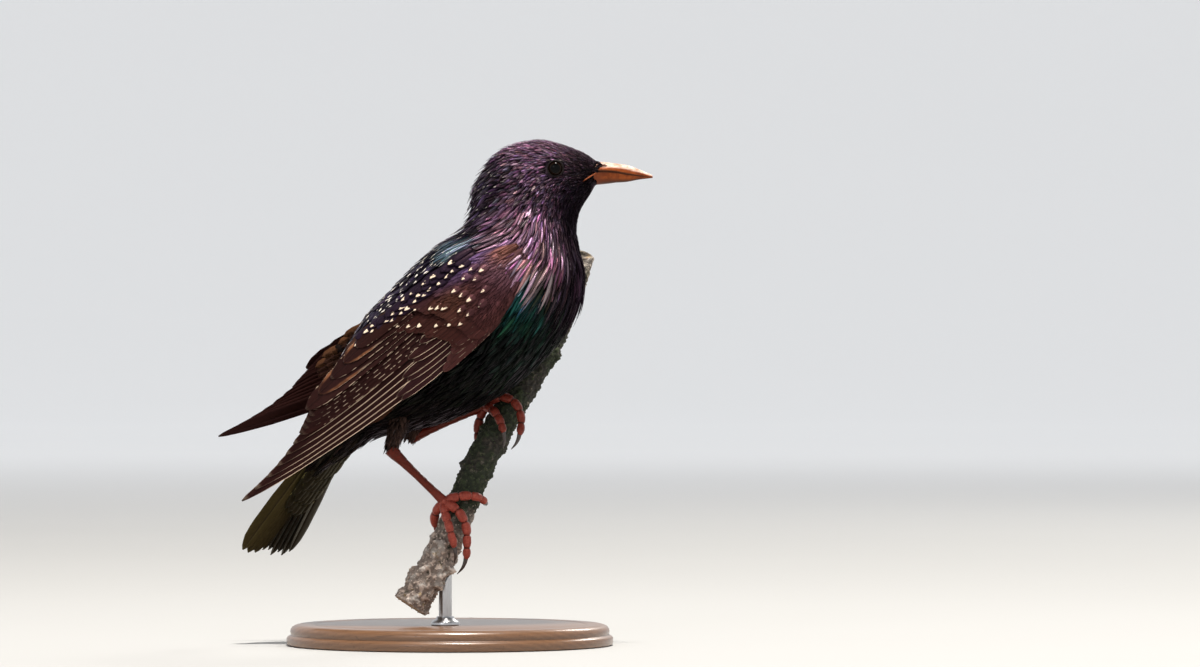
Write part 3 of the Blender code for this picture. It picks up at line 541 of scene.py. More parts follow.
# gloss colours: t, degrees from the back, reach in t, reach in degrees, colour; the crown, cheek, collar
# and hackle colours are lightened in part as painted highlights
bodyTones = {
    "crown": (2.3, 40, .8, 32, (.230, .130, .200)),
    "forehead": (.6, 34, .8, 50, (.036, .022, .028)),
    "nape": (4.3, 25, 1.4, 50, (.040, .027, .044)),
    "cheek": (3.0, 90, 1.0, 28, (.120, .068, .106)),
    "lores": (0.4, 80, 1.0, 60, (.010, .007, .008)),
    "ear": (2.0, 118, 1.4, 20, (.014, .009, .014)),
    "chin": (2.6, 175, 2.6, 36, (.003, .002, .003)),
    "collar": (5.5, 98, 1.1, 28, (.360, .190, .280)),
    "hackle": (6.9, 114, .6, 13, (.270, .160, .165)),
    "throat": (6.4, 158, 1.6, 26, (.012, .006, .011)),
    # in part a painted sheen: the pale blue-white gloss on the shoulder
    "shoulder": (7.1, 44, .42, 14, (.220, .330, .420)),
    "rust": (7.2, 66, .40, 12, (.220, .080, .030)),
    "breastSide": (7.8, 98, .55, 15, (.040, .230, .300)),
    "teal": (8.5, 112, .60, 17, (.010, .085, .056)),
    "breast": (9.6, 150, 1.6, 55, (.003, .010, .006)),
    "mantle": (10.2, 25, 2.2, 55, (.012, .007, .018)),
    "belly": (13.0, 150, 2.6, 70, (.0050, .0030, .0022)),
    "flank": (11.4, 95, 2.6, 38, (.004, .006, .004)),
    "rump": (15.0, 25, 1.8, 60, (.010, .008, .008)),
    "vent": (16.6, 150, 1.2, 70, (.018, .015, .008)),
}
bodyLook = {
    "barbs": 1400.0, "sweep": 20.0, "barbShade": 0.16, "grain": 1500.0, "bump": 0.55, "paintedRootShade": 0.20,
    "fringeAt": 0.70, "fringeSoft": 0.07, "thin": 0.0, "wobble": 0.16,
    "fringeColour": (.30, .26, .27), "webColour": (.30, .17, .10),
    "shaft": 0.0, "shaftColour": (.02, .015, .015),
    "spotAt": 0.87, "spotWide": 0.19, "blot": 900.0, "heart": -.10, "spotColour": (.80, .73, .64),
    "roughness": 0.33, "coat": 0.0, "sheen": 0.13, "sheenColour": (.72, .58, .70),
}


def bodySheet(t, turn, lift):
    row = smoothRows(body["rows"], t)
    row = row + np.clip(-np.asarray(t, float), 0, 1)[..., None] * (np.array(body["nose"]) - row)
    back, belly, wide = row[..., 0:2], row[..., 2:4], row[..., 4]
    centre, half = (back + belly) / 2, (back - belly) / 2
    reach = np.linalg.norm(half, axis=-1)
    up = half / reach[..., None]
    out = (reach + lift) * np.cos(turn)
    return stacked(centre[..., 0] + up[..., 0] * out, (wide + lift) * np.sin(turn),
                   centre[..., 1] + up[..., 1] * out)


# degrees from the middle of the back, 0 to 180
def fromBack(turn):
    return np.abs((np.degrees(turn) + 180) % 360 - 180)


# places on the bake map for the body and for the two thighs
def bodyBake(t, turn):
    return stacked(0.02 + 0.84 * t / 18, turn / tau % 1.0 * 0.98 + 0.01)


def thighBake(k, t, turn):
    return stacked(0.88 + 0.10 * t, 0.02 + 0.47 * k + turn / tau % 1 * .44)


def toneOf(tones, t, c):
    total, colour = np.full(np.shape(t), 1e-9), np.zeros((*np.shape(t), 3))
    for atT, atC, reachT, reachC, rgb in tones.values():
        near = np.exp(-((t - atT) / reachT) ** 2 - ((c - atC) / reachC) ** 2)
        total += near
        colour += near[..., None] * np.array(rgb)
    return colour / total[..., None]


def coatAt(table, t, c):
    rows = np.array(table, float)
    values = [np.interp(t, rows[:, 0], rows[:, k]) for k in (1, 2, 3)]
    low = np.clip(c / 90, 0, 1)
    high = np.clip(c / 90 - 1, 0, 1)
    return (values[0] * (1 - low) + values[1] * low) * (1 - high) + values[2] * high


# feather roots in staggered rows round the body between two rings
def scatterCoat(first, last):
    places, t, row = [], first, 0
    circle = np.linspace(0, tau, 361)
    while t < last:
        ring = bodySheet(np.full(circle.shape, t), circle, 0)
        step = np.linalg.norm(np.diff(ring, axis=0), axis=1)
        middle = (circle[1:] + circle[:-1]) / 2
        wide = coatAt(coat["width"], t, fromBack(middle)) * coat["spread"]
        sums = np.concatenate([[0], np.cumsum(step / wide)])
        count = int(sums[-1])
        at = (np.arange(count) + 0.5 * (row % 2) + rng.uniform(-.28, .28, count)) % count
        turns = np.interp(at * sums[-1] / count, sums, circle)
        onward = bodySheet(np.full(circle.shape, t + 0.05), circle, 0)
        pace = np.median(np.linalg.norm(onward - ring, axis=1)) / 0.05
        rowStep = lineAt(coat["row"], t) / pace
        places.append(stacked(t + rng.uniform(-.3, .3, count) * rowStep, turns))
        t += rowStep
        row += 1
    return np.concatenate(places)


# distance from points to a line of two points, in the plane of the profile
def offLine(p, line):
    first, last = np.array(line)
    way = last - first
    f = np.clip((p - first) @ way / (way @ way), 0, 1)
    return np.linalg.norm(p - first - f[:, None] * way, axis=1)


def bodyCoat():
    roots = np.concatenate([scatterCoat(coat["faceFrom"], coat["faceTo"]),
                            scatterCoat(coat["from"], coat["to"])])
    t, turn = roots.T
    c = fromBack(turn)
    # the feathered edge on the bill reaches furthest forward at its sides, towards the nostrils
    edge = -.30 - .36 * np.exp(-((c - 48) / 26) ** 2) + .62 * np.exp(-((c - 116) / 15) ** 2)
    t = roots[:, 0] = np.where(t < .6, np.maximum(t, edge + rng.uniform(-.08, .16, len(t))), t)
    length = coatAt(coat["length"], t, c) * rng.uniform(*coat["lengthVary"], len(t))
    width = coatAt(coat["width"], t, c) * rng.uniform(*coat["widthVary"], len(t))
    tip = coatAt(coat["tip"], t, c) * rng.uniform(*coat["tipVary"], len(t))
    scaleT, scaleS = sheetScale(bodySheet, t, turn)
    # behind the cheek the strands sweep towards the back
    (atT, atC), (reachT, reachC) = coat["sweepAt"], coat["sweepReach"]
    sweep = np.exp(-((t - atT) / reachT) ** 2) * np.exp(-((c - atC) / reachC) ** 2)
    angle = rng.normal(0, .12, len(t)) + coat["sweepAngle"] * sweep * np.where(turn > math.pi, 1, -1)
    end = stacked(t + length * np.cos(angle) / scaleT, turn + length * np.sin(angle) / scaleS)
    keep = end[:, 0] < coat["lastTip"]
    mouth = bodySheet(t + .3, turn, 0)     # the corner of the mouth stays bare
    keep &= ~(offLine(mouth[:, [0, 2]], bill["gape"]) < bill["gapeWide"])
    # leave the eyes clear and drop what the wings hide
    for f in (0, .35, .7, 1.0):
        p = bodySheet(t + (end[:, 0] - t) * f, turn + (end[:, 1] - turn) * f, 0)
        offEye = np.hypot(p[:, 0] - eyeLook["place"][0], p[:, 2] - eyeLook["place"][2])
        keep &= ~((offEye < body["eyeClear"]) & (np.abs(p[:, 1]) > 4))
    root = bodySheet(t, turn, 0)
    for side in (-1, 1):
        keep &= ~underWing(side, root)
    kept = [v[keep] for v in (roots, end, t, turn, c, length, width, tip)]
    roots, end, t, turn, c, length, width, tip = kept
    count = len(t)
    tone = toneOf(bodyTones, t, c)
    deep = np.where((t > 3.6) & (t < 8.4), 1.35, 1.0)[:, None]     # more contrast on the neck
    tone = tone * np.exp(rng.normal(-.2, .62, (count, 1)) * deep) * np.exp(rng.normal(0, .12, (count, 3)))
    gloss = np.where(t > 8, np.where(c < 80, coat["gloss"]["back"], coat["gloss"]["below"]),
                     coat["gloss"]["head"])
    fringe = np.where((t > 2.6) & (t < 6.8) & (c < 120), rng.uniform(.0, .5, count) ** 2,
                      rng.uniform(0, .06, count))
    fringe = np.where((t > 5) & (t < 8) & (c > 70) & (c < 150), .7 * rng.uniform(0, 1, count) ** 3,
                      fringe)
    fringe = np.where((t > 8) & (c > 100), rng.uniform(0, .06, count), fringe)
    spotted = (t > 6.9) & (t < 14.5) & (c < 76) & (rng.random(count) < .76)
    napeSpot = (t > 3.4) & (t <= 7.0) & (c < 60) & (rng.random(count) < .5)
    spot = spotted * 1.0 + napeSpot * .7
    mark = marks(count, fringe, spot, gloss)
    tip = np.where(t < .3, np.minimum(tip, .16), tip)
    lift = stacked(np.where(t < 0, -.35, -body["coatDepth"]), tip)
    groups = [
        ("headFeathers", t < 4.3, "lance", fewSteps, fewAcross, .10, .13),
        ("neckHackles", (t >= 4.3) & (t < 8.2), "lance", moreSteps, fewAcross, .16, .16),
        ("mantleFeathers", (t >= 8.2) & (c < 80), "round", moreSteps, moreAcross, .10, .16),
        ("breastFeathers", (t >= 8.2) & (c >= 80) & (t < 11.6), "lance", moreSteps, fewAcross, .14, .16),
        ("bellyFeathers", (t >= 11.6) & (c >= 80), "lance", moreSteps, fewAcross, .14, .16),
    ]
    finish = plumageMaterial("glossyBodyPlumage", bodyLook)
    for name, pick, shape, steps, across, camber, thick in groups:
        batch = growVanes(bodySheet, roots[pick], end[pick], width[pick], lift[pick], shape, steps,
                          across, tone[pick], mark[pick], (bodyBake(t[pick], turn[pick]), tuft),
                          camber=camber, thick=thick)
        vanePiece(name, [batch], finish)


def skinMaterial():
    material, tree, shader = newMaterial("darkFeatherBase")
    tone = addNode(tree, "Attribute", {"attribute_name": "tone"}).outputs
    down = noiseAt(objectPlace(tree), 1400.0)
    finishWith(shader, colour=shaded(tone["Color"], scaled(down, .7, .12)),
               roughness=scaled(down, .3, .60), specular=.12, normal=bumpFrom(down, .5, .0002))
    return material


# glow is each leg's share of painted light on its skin; the left leg is painted as if in shade
legs = {
    "right": {"hip": (-17.5, -7.0, 90.5), "heel": (-22.0, -15.5, 74.4),
              "gripZ": 50.6, "palmTurn": 42.0, "glow": 1.0},
    "left": {"hip": (-10.5, 6.5, 92.0), "heel": (-15.4, 9.5, 78.6),
             "gripZ": 86.0, "palmTurn": 6.0, "glow": .4},
}
thigh = {
    "radii": [(0, 3.9), (.2, 3.85), (.4, 3.6), (.6, 3.2), (.8, 2.75), (1, 2.3)],
    "depth": 0.7,
    "rows": (0.02, .86, .07),     # first, last and step of the feather rows
    "gap": .75,
    "length": 4.6,
    "width": 1.5,
    "tone": (.040, .022, .016),
}


def thighSheet(word):
    hip, heel = np.array(legs[word]["hip"]), np.array(legs[word]["heel"])
    way = unit(heel - hip)
    across = unit(np.array([0.0, 1.0, 0.0]) - way * way[1])
    up = np.cross(way, across)
    start, end = hip - way * 2.0, heel + way * 0.6

    def sheet(t, turn, lift):
        radius = lineAt(thigh["radii"], t) + lift
        p = start + (end - start) * t[..., None]
        return p + across * (np.cos(turn) * radius)[..., None] + up * (np.sin(turn) * radius)[..., None]
    return sheet


def bodySkin():
    rows, sides = body["skinRows"], body["skinSides"]
    t, turn = np.meshgrid(np.linspace(0.0, body["skinEnd"], rows), np.arange(sides) * tau / sides,
                          indexing="ij")
    rings = bodySheet(t, turn, -body["coatDepth"] + 0.15)
    tone = toneOf(bodyTones, t, fromBack(turn)) * 0.55
    parts = [(rings, tone, bodyBake(t, turn))]
    for k, word in enumerate(("right", "left")):
        t, turn = np.meshgrid(np.linspace(0, 1, 24), np.arange(32) * tau / 32, indexing="ij")
        tone = np.zeros((*t.shape, 3)) + np.array(thigh["tone"])
        parts.append((thighSheet(word)(t, turn, -thigh["depth"]), tone * .6, thighBake(k, t, turn)))
    points, faces, (tones, places) = joinTubes(parts)
    meshPiece("bodySkin", points, faces, skinMaterial(),
              ("head", "neck", "torso", "thigh_right", "thigh_left"), {"OFBake": places},
              {"tone": np.concatenate([tones, np.ones((len(tones), 1))], 1)})


def thighFeathers():
    batches = []
    for k, word in enumerate(("right", "left")):
        sheet = thighSheet(word)
        roots = []
        for i, t in enumerate(np.arange(*thigh["rows"])):
            count = int(tau * lineAt(thigh["radii"], t) / thigh["gap"])
            turn = (np.arange(count) + .5 * (i % 2) + rng.uniform(-.3, .3, count)) / count * tau
            roots.append(stacked(np.full(count, t) + rng.uniform(-.02, .02, count), turn))
        roots = np.concatenate(roots)
        scaleT, _ = sheetScale(sheet, roots[:, 0].clip(.1, .9), roots[:, 1])
        count = len(roots)
        reach = np.minimum(thigh["length"] * rng.uniform(.8, 1.2, count) / scaleT, 1.12 - roots[:, 0])
        end = roots + stacked(reach, rng.normal(0, .12, count))
        tone = np.array(thigh["tone"]) * np.exp(rng.normal(0, .3, (count, 1)))
        mark = marks(count, rng.uniform(0, .15, count), 0, .35)
        bake = thighBake(k, *roots.T)
        lift = stacked(np.full(count, -thigh["depth"]), rng.uniform(.0, .5, count))
        batches.append(growVanes(sheet, roots, end, thigh["width"] * rng.uniform(.8, 1.2, count), lift,
                                 "lance", fewSteps, fewAcross, tone, mark, (bake, tuft)))
    vanePiece("thighFeathers", batches, bpy.data.materials["glossyBodyPlumage"])


wing = {
    "bend": np.array((25.0, 0.0, 142.0)),
    "fall": math.radians(40.1),
    "lower": [(-3, 3), (4.2, -5.8), (17, -10.9), (34, -13.1), (72, -11), (102, -6.4), (135, -0.8)],
    "upper": [(-3, 5), (1, 10.5), (10, 15.6), (26, 20), (44, 21), (72, 18), (86, 13), (100, 6.9),
              (116, 2.6), (135, 0.8)],
    "out": [(-3, 23), (6, 26.2), (16, 28.6), (30, 30), (50, 29.6), (70, 26.6), (90, 22), (112, 17.6),
            (135, 14.6)],
    "curl": [(-3, 3.5), (14, 8), (30, 9.5), (50, 10), (72, 9), (92, 5), (135, 1.5)],
    "pivot": np.array((8.4, 0.0, 116.3)),
    "liftLeft": math.radians(14.6),
    "spreadLeft": math.radians(5.0),
    "narrowLeft": 0.88,
    # the far wing's lining rim is lighter: painted light shining through its thin edge
    "paintedLitRim": (.085, .036, .016), "lining": (.044, .019, .011),
    "coreEnd": 80.0,
    "coreDepth": 1.2,
    "coreThick": [(0, 3.5), (12, 7), (42, 7), (80, 1.4)],
    # the body has no feathers under the wing, between these places and inside these margins
    "hidesFrom": 9, "hidesTo": 74, "hidesOut": 4, "lowMargin": 4.5, "highMargin": 9,
    # first, last and step of the lining's rows along and across the wing
    "liningAlong": (24, 92, 3.0), "liningAcross": (-8, 20.5, 2.2), "liningSize": (15, 4.4),
}
wingAlong = np.array((-math.cos(wing["fall"]), 0, -math.sin(wing["fall"])))
wingAcross = np.array((-math.sin(wing["fall"]), 0, math.cos(wing["fall"])))
leftTurn = np.array(Matrix.Rotation(wing["spreadLeft"], 3, "Z").inverted()
                    @ Matrix.Rotation(wing["liftLeft"], 3, "Y"))


def wingSheet(side):
    def sheet(a, b, h):
        if side > 0:
            b = np.where(b > 0, b * wing["narrowLeft"], b)
        out = curveAt(wing["out"], a) - curveAt(wing["curl"], a) * ((b + 5) / 25) ** 2 + h
        p = wing["bend"] + wingAlong * a[..., None] + wingAcross * b[..., None]
        p = p + np.array((0, side, 0)) * out[..., None]
        if side > 0:
            p = (p - wing["pivot"]) @ leftTurn.T + wing["pivot"]
        return p
    return sheet


def wingBake(a, b):
    return stacked((a + 6) / 150, (b + 20) / 50)


# a and b of points, measured in the folded wing
def wingPlaces(side, p):
    if side > 0:
        p = (p - wing["pivot"]) @ leftTurn + wing["pivot"]
    flat = p - wing["bend"]
    return flat @ wingAlong, flat @ wingAcross


# true for points that a folded wing covers well inside its edges
def underWing(side, p):
    near = p[:, 1] * side > wing["hidesOut"]
    a, b = wingPlaces(side, p)
    low = lineAt(wing["lower"], a) + wing["lowMargin"]
    high = lineAt(wing["upper"], a) - wing["highMargin"]
    return near & (a > wing["hidesFrom"]) & (a < wing["hidesTo"]) & (b > low) & (b < high)


# rows of wing feathers: count, first tip (a, b), last tip, bulge, length, width, root gather, fringe
wingRows = {
    "median": (15, (29.0, -9.4), (39.6, 15.6), -1.8, 12.0, 4.4, .94, .10),
    "greater": (16, (36.0, -7.8), (52.0, 14.4), -2.4, 18.0, 4.5, .92, .26),
}
lesser = {"pole": (-16.0, 5.0), "from": 1.6, "to": 30.5, "row": 1.5, "gap": 1.3, "length": (8.0, 14.0),
          "width": (1.9, 3.3)}
# a, b of the pale tip spots on the coverts
spotPlaces = [(47.9, 12.6), (41.8, 7.5), (36.8, 3.3), (32.8, .4), (29.5, -2.0), (45.0, 10.0), (34.4, 9.8),
              (32.4, 8.2), (30.7, 6.6), (24.9, -1.3), (19.2, -1.6), (23.6, 9.1), (22.4, 6.0), (21.4, 2.8),
              (15.1, 2.0), (17.5, 10.4), (14.5, 7.4), (13.3, 11.3), (10.6, 8.5), (26.5, 2.0),
              (38.8, 13.2)]
# wing colours: a, b, reach in a, reach in b, colour; bend and violet are lightened in part as a painted
# sheen
wingTones = {
    "bend": (5, 6, 7, 7, (.120, .058, .078)),
    "rust": (1, 10, 4.5, 4.5, (.230, .080, .030)),
    "violet": (14, 14, 12, 3.5, (.105, .062, .150)),
    "shoulder": (16, 1, 9, 8, (.056, .020, .023)),
    "covert": (40, 4, 16, 10, (.030, .0088, .0064)),
    "warm": (27, 6, 6, 6, (.100, .040, .024)),
    "lowerEdge": (24, -11, 20, 4, (.056, .019, .017)),
    "purple": (55, -9, 8, 3, (.026, .009, .010)),
    "flight": (85, 0, 30, 10, (.019, .0058, .0042)),
    "tertial": (70, 14, 20, 7, (.019, .0066, .0052)),
    "tips": (120, 2, 20, 10, (.013, .007, .006)),
}
wingLook = dict(bodyLook, sweep=42.0, barbs=1250.0, grain=900.0, barbShade=.07, fringeAt=.88,
                fringeSoft=.02, thin=.05, wobble=.02, fringeColour=(.95, .71, .51),
                webColour=(.200, .080, .036), shaft=.5, blot=700.0, heart=.10,
                shaftColour=(.010, .005, .004), spotAt=.86, spotWide=.21, spotColour=(.80, .64, .47),
                roughness=.34, bump=.26, coat=.02, sheen=.17, sheenColour=(1.0, .45, .48), paintedRootShade=.8)


def wingFeatherList():
    rows = []

    def add(start, end, width, lift, bow=0.0, tilt=12.0, skew=0.0, shape="flight", fringe=.5, spot=0.0,
            gloss=.35, tone=None, fine=True):
        rows.append(dict(start=start, end=end, width=width, lift=lift, bow=bow, tilt=math.radians(tilt),
                         skew=skew, shape=shape, fringe=fringe, spot=spot, gloss=gloss, tone=tone,
                         fine=fine))

    for i in range(7):      # primaries, outermost first
        add((33 + 1.2 * i, -9.6 + 2.5 * i), (135 - 7.0 * i + .24 * i * i, .1 * i + .14 * i * i),
            6.4 - .1 * i, (-2.0, -.3), -1.2, 15, .28, "primary", .97, tone="flight")
    for i in range(7):      # secondaries
        add((36, 2.0 + 1.7 * i), (101.5 - 2.4 * i, 5.0 + 1.05 * i), 7.0, (-1.5, .6), -.4, 14, .2,
            "flight", .38, tone="flight")
    for i in range(5):      # tertials
        add((44 - 1.6 * i, 8.4 + 1.5 * i), (94 - 7.4 * i, 10.8 + 1.45 * i), 9.2 - .4 * i, (-.6, 1.6), 1.0,
            12, .05, "round", (.3, 1.5, .3, 1.45, .2)[i], tone="tertial")
    for i in range(7):      # primary coverts, over the roots of the primaries
        add((35 - .4 * i, -9.9 + 1.75 * i), (64 - 3.2 * i + 4 * (i % 2), -9.7 + 2.0 * i), 3.7,
            (-1.4, -.05), -.3, 10, .2, "primary", .95, tone="purple", gloss=.45)
    for i in range(4):      # alula
        add((16 + 2 * i, -10.6 + 1.0 * i), (45 - 3.4 * i, -11.7 + 1.6 * i), 4.0, (-.9, .5), 0, 9, .2,
            "flight", .3, tone="lowerEdge")
    for count, first, last, bulge, length, width, gather, fringe in wingRows.values():
        for i in range(count):
            f = i / (count - 1)
            tipA = first[0] + (last[0] - first[0]) * f + bulge * 4 * f * (1 - f) + rng.uniform(-.9, .9)
            tipB = first[1] + (last[1] - first[1]) * f + rng.uniform(-.3, .3)
            add((tipA - length, tipB * gather - .2), (tipA, tipB), width * rng.uniform(.95, 1.12),
                (-1.3, .5), 0, 8, 0, "round", fringe * rng.uniform(.4, 1.4), 0.0, .35, "covert")
    for a, b in spotPlaces:     # a spotted feather ends at each of these places
        add((a - 8.5, b * .95 - .2), (a + .2, b), rng.uniform(3.2, 4.2), (-1.2, .62), 0, 3, 0, "round",
            0.0, 1.0, .3, "covert" if a > 28 else "shoulder", False)
    for k in range(3):      # scapulars along the wing's upper edge, spotted at their tips
        for i in range(14):
            tipA = 15 + 3.7 * i + 1.8 * (k % 2) + rng.uniform(-.9, .9)
            tipB = 14.9 + 1.6 * k + .08 * i + rng.uniform(-.5, .5)
            add((tipA - 9, tipB - 1.4), (tipA, tipB), rng.uniform(3.3, 4.2), (-1.0, .8 + .35 * k), .3, 3,
                0, "round", .0, float(rng.random() < (.9, .5, .6)[k]), .25, "scapular", False)
    return rows


def wingCore(side):
    sheet = wingSheet(side)
    a = np.linspace(-1.2, wing["coreEnd"], 60)
    low, high = curveAt(wing["lower"], a) + 1.6, curveAt(wing["upper"], a) - 1.6
    thick = lineAt(wing["coreThick"], a)
    rings = []
    for v, h, deep in ((0, -1.4, 0), (.12, 0, 0), (.35, 0, 0), (.6, 0, 0), (.85, 0, 0), (1, -1.4, 0),
                       (.85, 0, 1), (.6, 0, 1), (.35, 0, 1), (.12, 0, 1)):
        rings.append(sheet(a, low + (high - low) * v, h - deep * thick - wing["coreDepth"]))
    return closedTube(np.stack(rings, 1))


# small smooth feathers that fan out from the bend over the front of the wing
def lesserCoverts(sheet):
    tips = []
    for k, a in enumerate(np.arange(lesser["from"], lesser["to"], lesser["row"])):
        low, high = curveAt(wing["lower"], np.array(a)) + .5, curveAt(wing["upper"], np.array(a)) - .9
        b = np.arange(low + lesser["gap"] / 2 * (k % 2), high, lesser["gap"])
        tips.append(stacked(a + rng.uniform(-.6, .6, len(b)), b + rng.uniform(-.35, .35, len(b))))
    tips = np.concatenate(tips)
    count, share = len(tips), np.clip(tips[:, 0] / lesser["to"], 0, 1)
    way = tips - np.array(lesser["pole"])
    way /= np.linalg.norm(way, axis=1, keepdims=True)

    def sized(key, most):
        low, high = lesser[key]
        return (low + (high - low) * share) * rng.uniform(.9, most, count)

    length, width = sized("length", 1.1), sized("width", 1.15)
    lift = stacked(np.full(count, -1.0), rng.uniform(.03, .12, count))
    tone = toneOf(wingTones, tips[:, 0], tips[:, 1]) * np.exp(rng.normal(0, .26, (count, 1)))
    mark = marks(count, 0, 0, .30)
    bake = wingBake(tips[:, 0], tips[:, 1]), tuft
    return growVanes(sheet, tips - way * length[:, None], tips, width, lift, "lance", moreSteps,
                     fewAcross, tone, mark, bake, camber=.05, thick=.12, ease=.8)


# plain feathers lining the inner face of the wing
def liningFeathers(sheet, edgeTone):
    a, b = np.meshgrid(np.arange(*wing["liningAlong"]), np.arange(*wing["liningAcross"]), indexing="ij")
    a, b = (a + rng.uniform(-1, 1, a.shape)).ravel(), (b + rng.uniform(-.5, .5, b.shape)).ravel()
    rim = curveAt(wing["upper"], a)
    inside = (b > curveAt(wing["lower"], a) + 1.5) & (b < rim - .5)
    a, b, rim = a[inside], b[inside], rim[inside]
    count = len(a)
    deep = -lineAt(wing["coreThick"] + [(92, -.2)], a) - wing["coreDepth"]
    # the rim takes the edge tone, which on the far wing is painted light
    tone = np.where((b > rim - 3)[:, None], np.array(edgeTone), np.array(wing["lining"]))
    tone = tone * np.exp(rng.normal(0, .12, (count, 1)))
    mark = marks(count, 0, 0, .2)
    length, width = wing["liningSize"]
    return growVanes(sheet, stacked(a - length, b), stacked(a, b), np.full(count, width),
                     stacked(deep + .4, deep - .15), "round", fewSteps, fewAcross, tone, mark,
                     (wingBake(a, b), tuft), camber=-.1, thick=.16)


def makeWing(side, word):
    sheet = wingSheet(side)
    finish = bpy.data.materials.get("wingPlumage") or plumageMaterial("wingPlumage", wingLook)
    rows = wingFeatherList()
    points, faces = wingCore(side)
    tone = np.tile((.022, .010, .007, 1.0), (len(points), 1))
    place = wingBake(*wingPlaces(side, points))
    meshPiece("wingFlesh" + word, points, faces, bpy.data.materials["darkFeatherBase"], (),
              {"OFBake": place}, {"tone": tone})
    batches = {"quills": [], "coverts": []}
    cells = math.ceil(math.sqrt(sum(r["fine"] for r in rows)))
    cell = 0
    for r in rows:
        start, end = np.array([r["start"]], float), np.array([r["end"]], float)
        middle = start * .35 + end * .65
        tone = toneOf(wingTones, middle[:, 0], middle[:, 1])
        if r["tone"] == "scapular":
            tone = np.array([[.013, .008, .018]])
        elif r["tone"]:
            tone = tone * .5 + np.array([wingTones[r["tone"]][4]]) * .5
        tone = tone * math.exp(rng.normal(0, .10))
        mark = np.array([[r["fringe"] * (1.0 if side < 0 else .35), r["spot"], rng.random(), r["gloss"]]])
        if r["fine"]:
            bake = (np.array([[(cell % cells + .5) / cells, (cell // cells + .5) / cells]]),
                    (.92 / cells, .92 / cells))
            cell += 1
            steps, across = manySteps, manyAcross
        else:
            bake = (np.array([[(middle[0, 0] + 10) / 150, (middle[0, 1] + 20) / 50]]), tuft)
            steps, across = moreSteps, moreAcross
        batches["quills" if r["fine"] else "coverts"].append(
            growVanes(sheet, start, end, r["width"], r["lift"], r["shape"], steps, across, tone, mark, bake,
                      camber=.05, tilt=r["tilt"], bow=r["bow"], skew=r["skew"], thick=.22, ease=1.0,
                      ridge=.16 if r["fine"] else .05))
    batches["coverts"].append(lesserCoverts(sheet))
    batches["coverts"].append(liningFeathers(sheet, wing["paintedLitRim" if side > 0 else "lining"]))
    vanePiece("wingQuills" + word, batches["quills"], finish, ("wing_" + word.lower(),))
    vanePiece("wingCoverts" + word, batches["coverts"], finish)


tail = {
    "root": np.array((-38.0, 3.5, 89.3)),
    "fall": math.radians(57.5), "roll": math.radians(38.0), "yaw": math.radians(11.0),
    "feathers": 12, "length": 67.5,
    # count, reach, spread, root height, tip height
    "under": [(7, 24, 2.1, -5.4, -5.2), (7, 30, 2.1, -5.0, -4.6), (6, 36, 2.3, -4.4, -4.2),
              (6, 42, 2.3, -3.8, -3.8), (5, 48, 2.6, -3.2, -3.2)],
    "upper": [(6, 26, 2.4, 2.2, 2.6), (7, 19, 2.4, 3.2, 3.4), (7, 13, 2.4, 3.8, 4.0)],
}
tailTones = {"dark": (.014, .010, .006), "olive": (.050, .038, .014), "under": (.015, .012, .006)}


def tailSheet(a, b, h):
    fall = np.array((-math.cos(tail["fall"]), 0, -math.sin(tail["fall"])))
    back = np.array((-math.sin(tail["fall"]), 0, math.cos(tail["fall"])))
    along = fall * math.cos(tail["yaw"]) + np.array((0, math.sin(tail["yaw"]), 0))
    side = np.array((0, math.cos(tail["yaw"]), 0)) - fall * math.sin(tail["yaw"])
    left = side * math.cos(tail["roll"]) - back * math.sin(tail["roll"])
    up = back * math.cos(tail["roll"]) + side * math.sin(tail["roll"])
    return tail["root"] + along * a[..., None] + left * b[..., None] + up * np.asarray(h)[..., None]


def makeTail():
    finish = plumageMaterial("tailPlumage", dict(wingLook, fringeColour=(.46, .38, .14), fringeAt=.90,
                                                 shaft=.7, sheenColour=(.80, .70, .45)))
    fans, coverts, count = [], [], tail["feathers"]
    dark, olive = np.array(tailTones["dark"]), np.array(tailTones["olive"])
    for i in range(count):
        k = i - (count - 1) / 2
        length = tail["length"] - 2.4 * math.exp(-(k / 1.6) ** 2) - .05 * k * k
        length = length - .45 * max(k, 0) - 1.5 * (i % 2)
        drop, over = -.42 * abs(k), .9 if k > 0 else 0.0
        mix = min(max((3 - k) / 8, 0), 1)
        tone = dark * (1 - mix) + olive * mix
        bake = np.array([[(i % 4 + .5) / 4, (i // 4 + .5) / 4]]), (.23, .23)
        fans.append(growVanes(tailSheet, [(6.0, .9 * k)], [(length, 2.3 * k)], 7.4,
                              (drop * .8 + over, drop + over), "tail", manySteps, manyAcross, tone[None],
                              [[.85, 0, rng.random(), .25]], bake, camber=.03,
                              tilt=math.radians(-11 if k > 0 else 11), thick=.24, ease=1.0, ridge=.2,
                              skew=.25 * np.sign(k)))
    for rows, word, low in ((tail["under"], "under", True), (tail["upper"], "dark", False)):
        for count, reach, spread, rootHeight, tipHeight in rows:
            for i in range(count):
                k = i - (count - 1) / 2
                tip = (reach - .5 * k * k + rng.uniform(-1, 1), k * spread)
                start = (min(max(reach - 22, 3), 16), k * spread * .55)
                tone = np.array([tailTones[word]]) * math.exp(rng.normal(0, .15))
                mark = [[.5 if low else .3, 0, rng.random(), .3]]
                bake = np.array([[(tip[0] + 10) / 100, (tip[1] + 20) / 40]]), tuft
                coverts.append(growVanes(tailSheet, [start], [tip], 5.0, (rootHeight, tipHeight), "round",
                                         moreSteps, moreAcross, tone, mark, bake,
                                         camber=-.08 if low else .08, tilt=math.radians(6), thick=.2,
                                         ease=1.0, ridge=.05))
    vanePiece("tailFan", fans, finish, ("tail",))
    vanePiece("tailCoverts", coverts, finish)


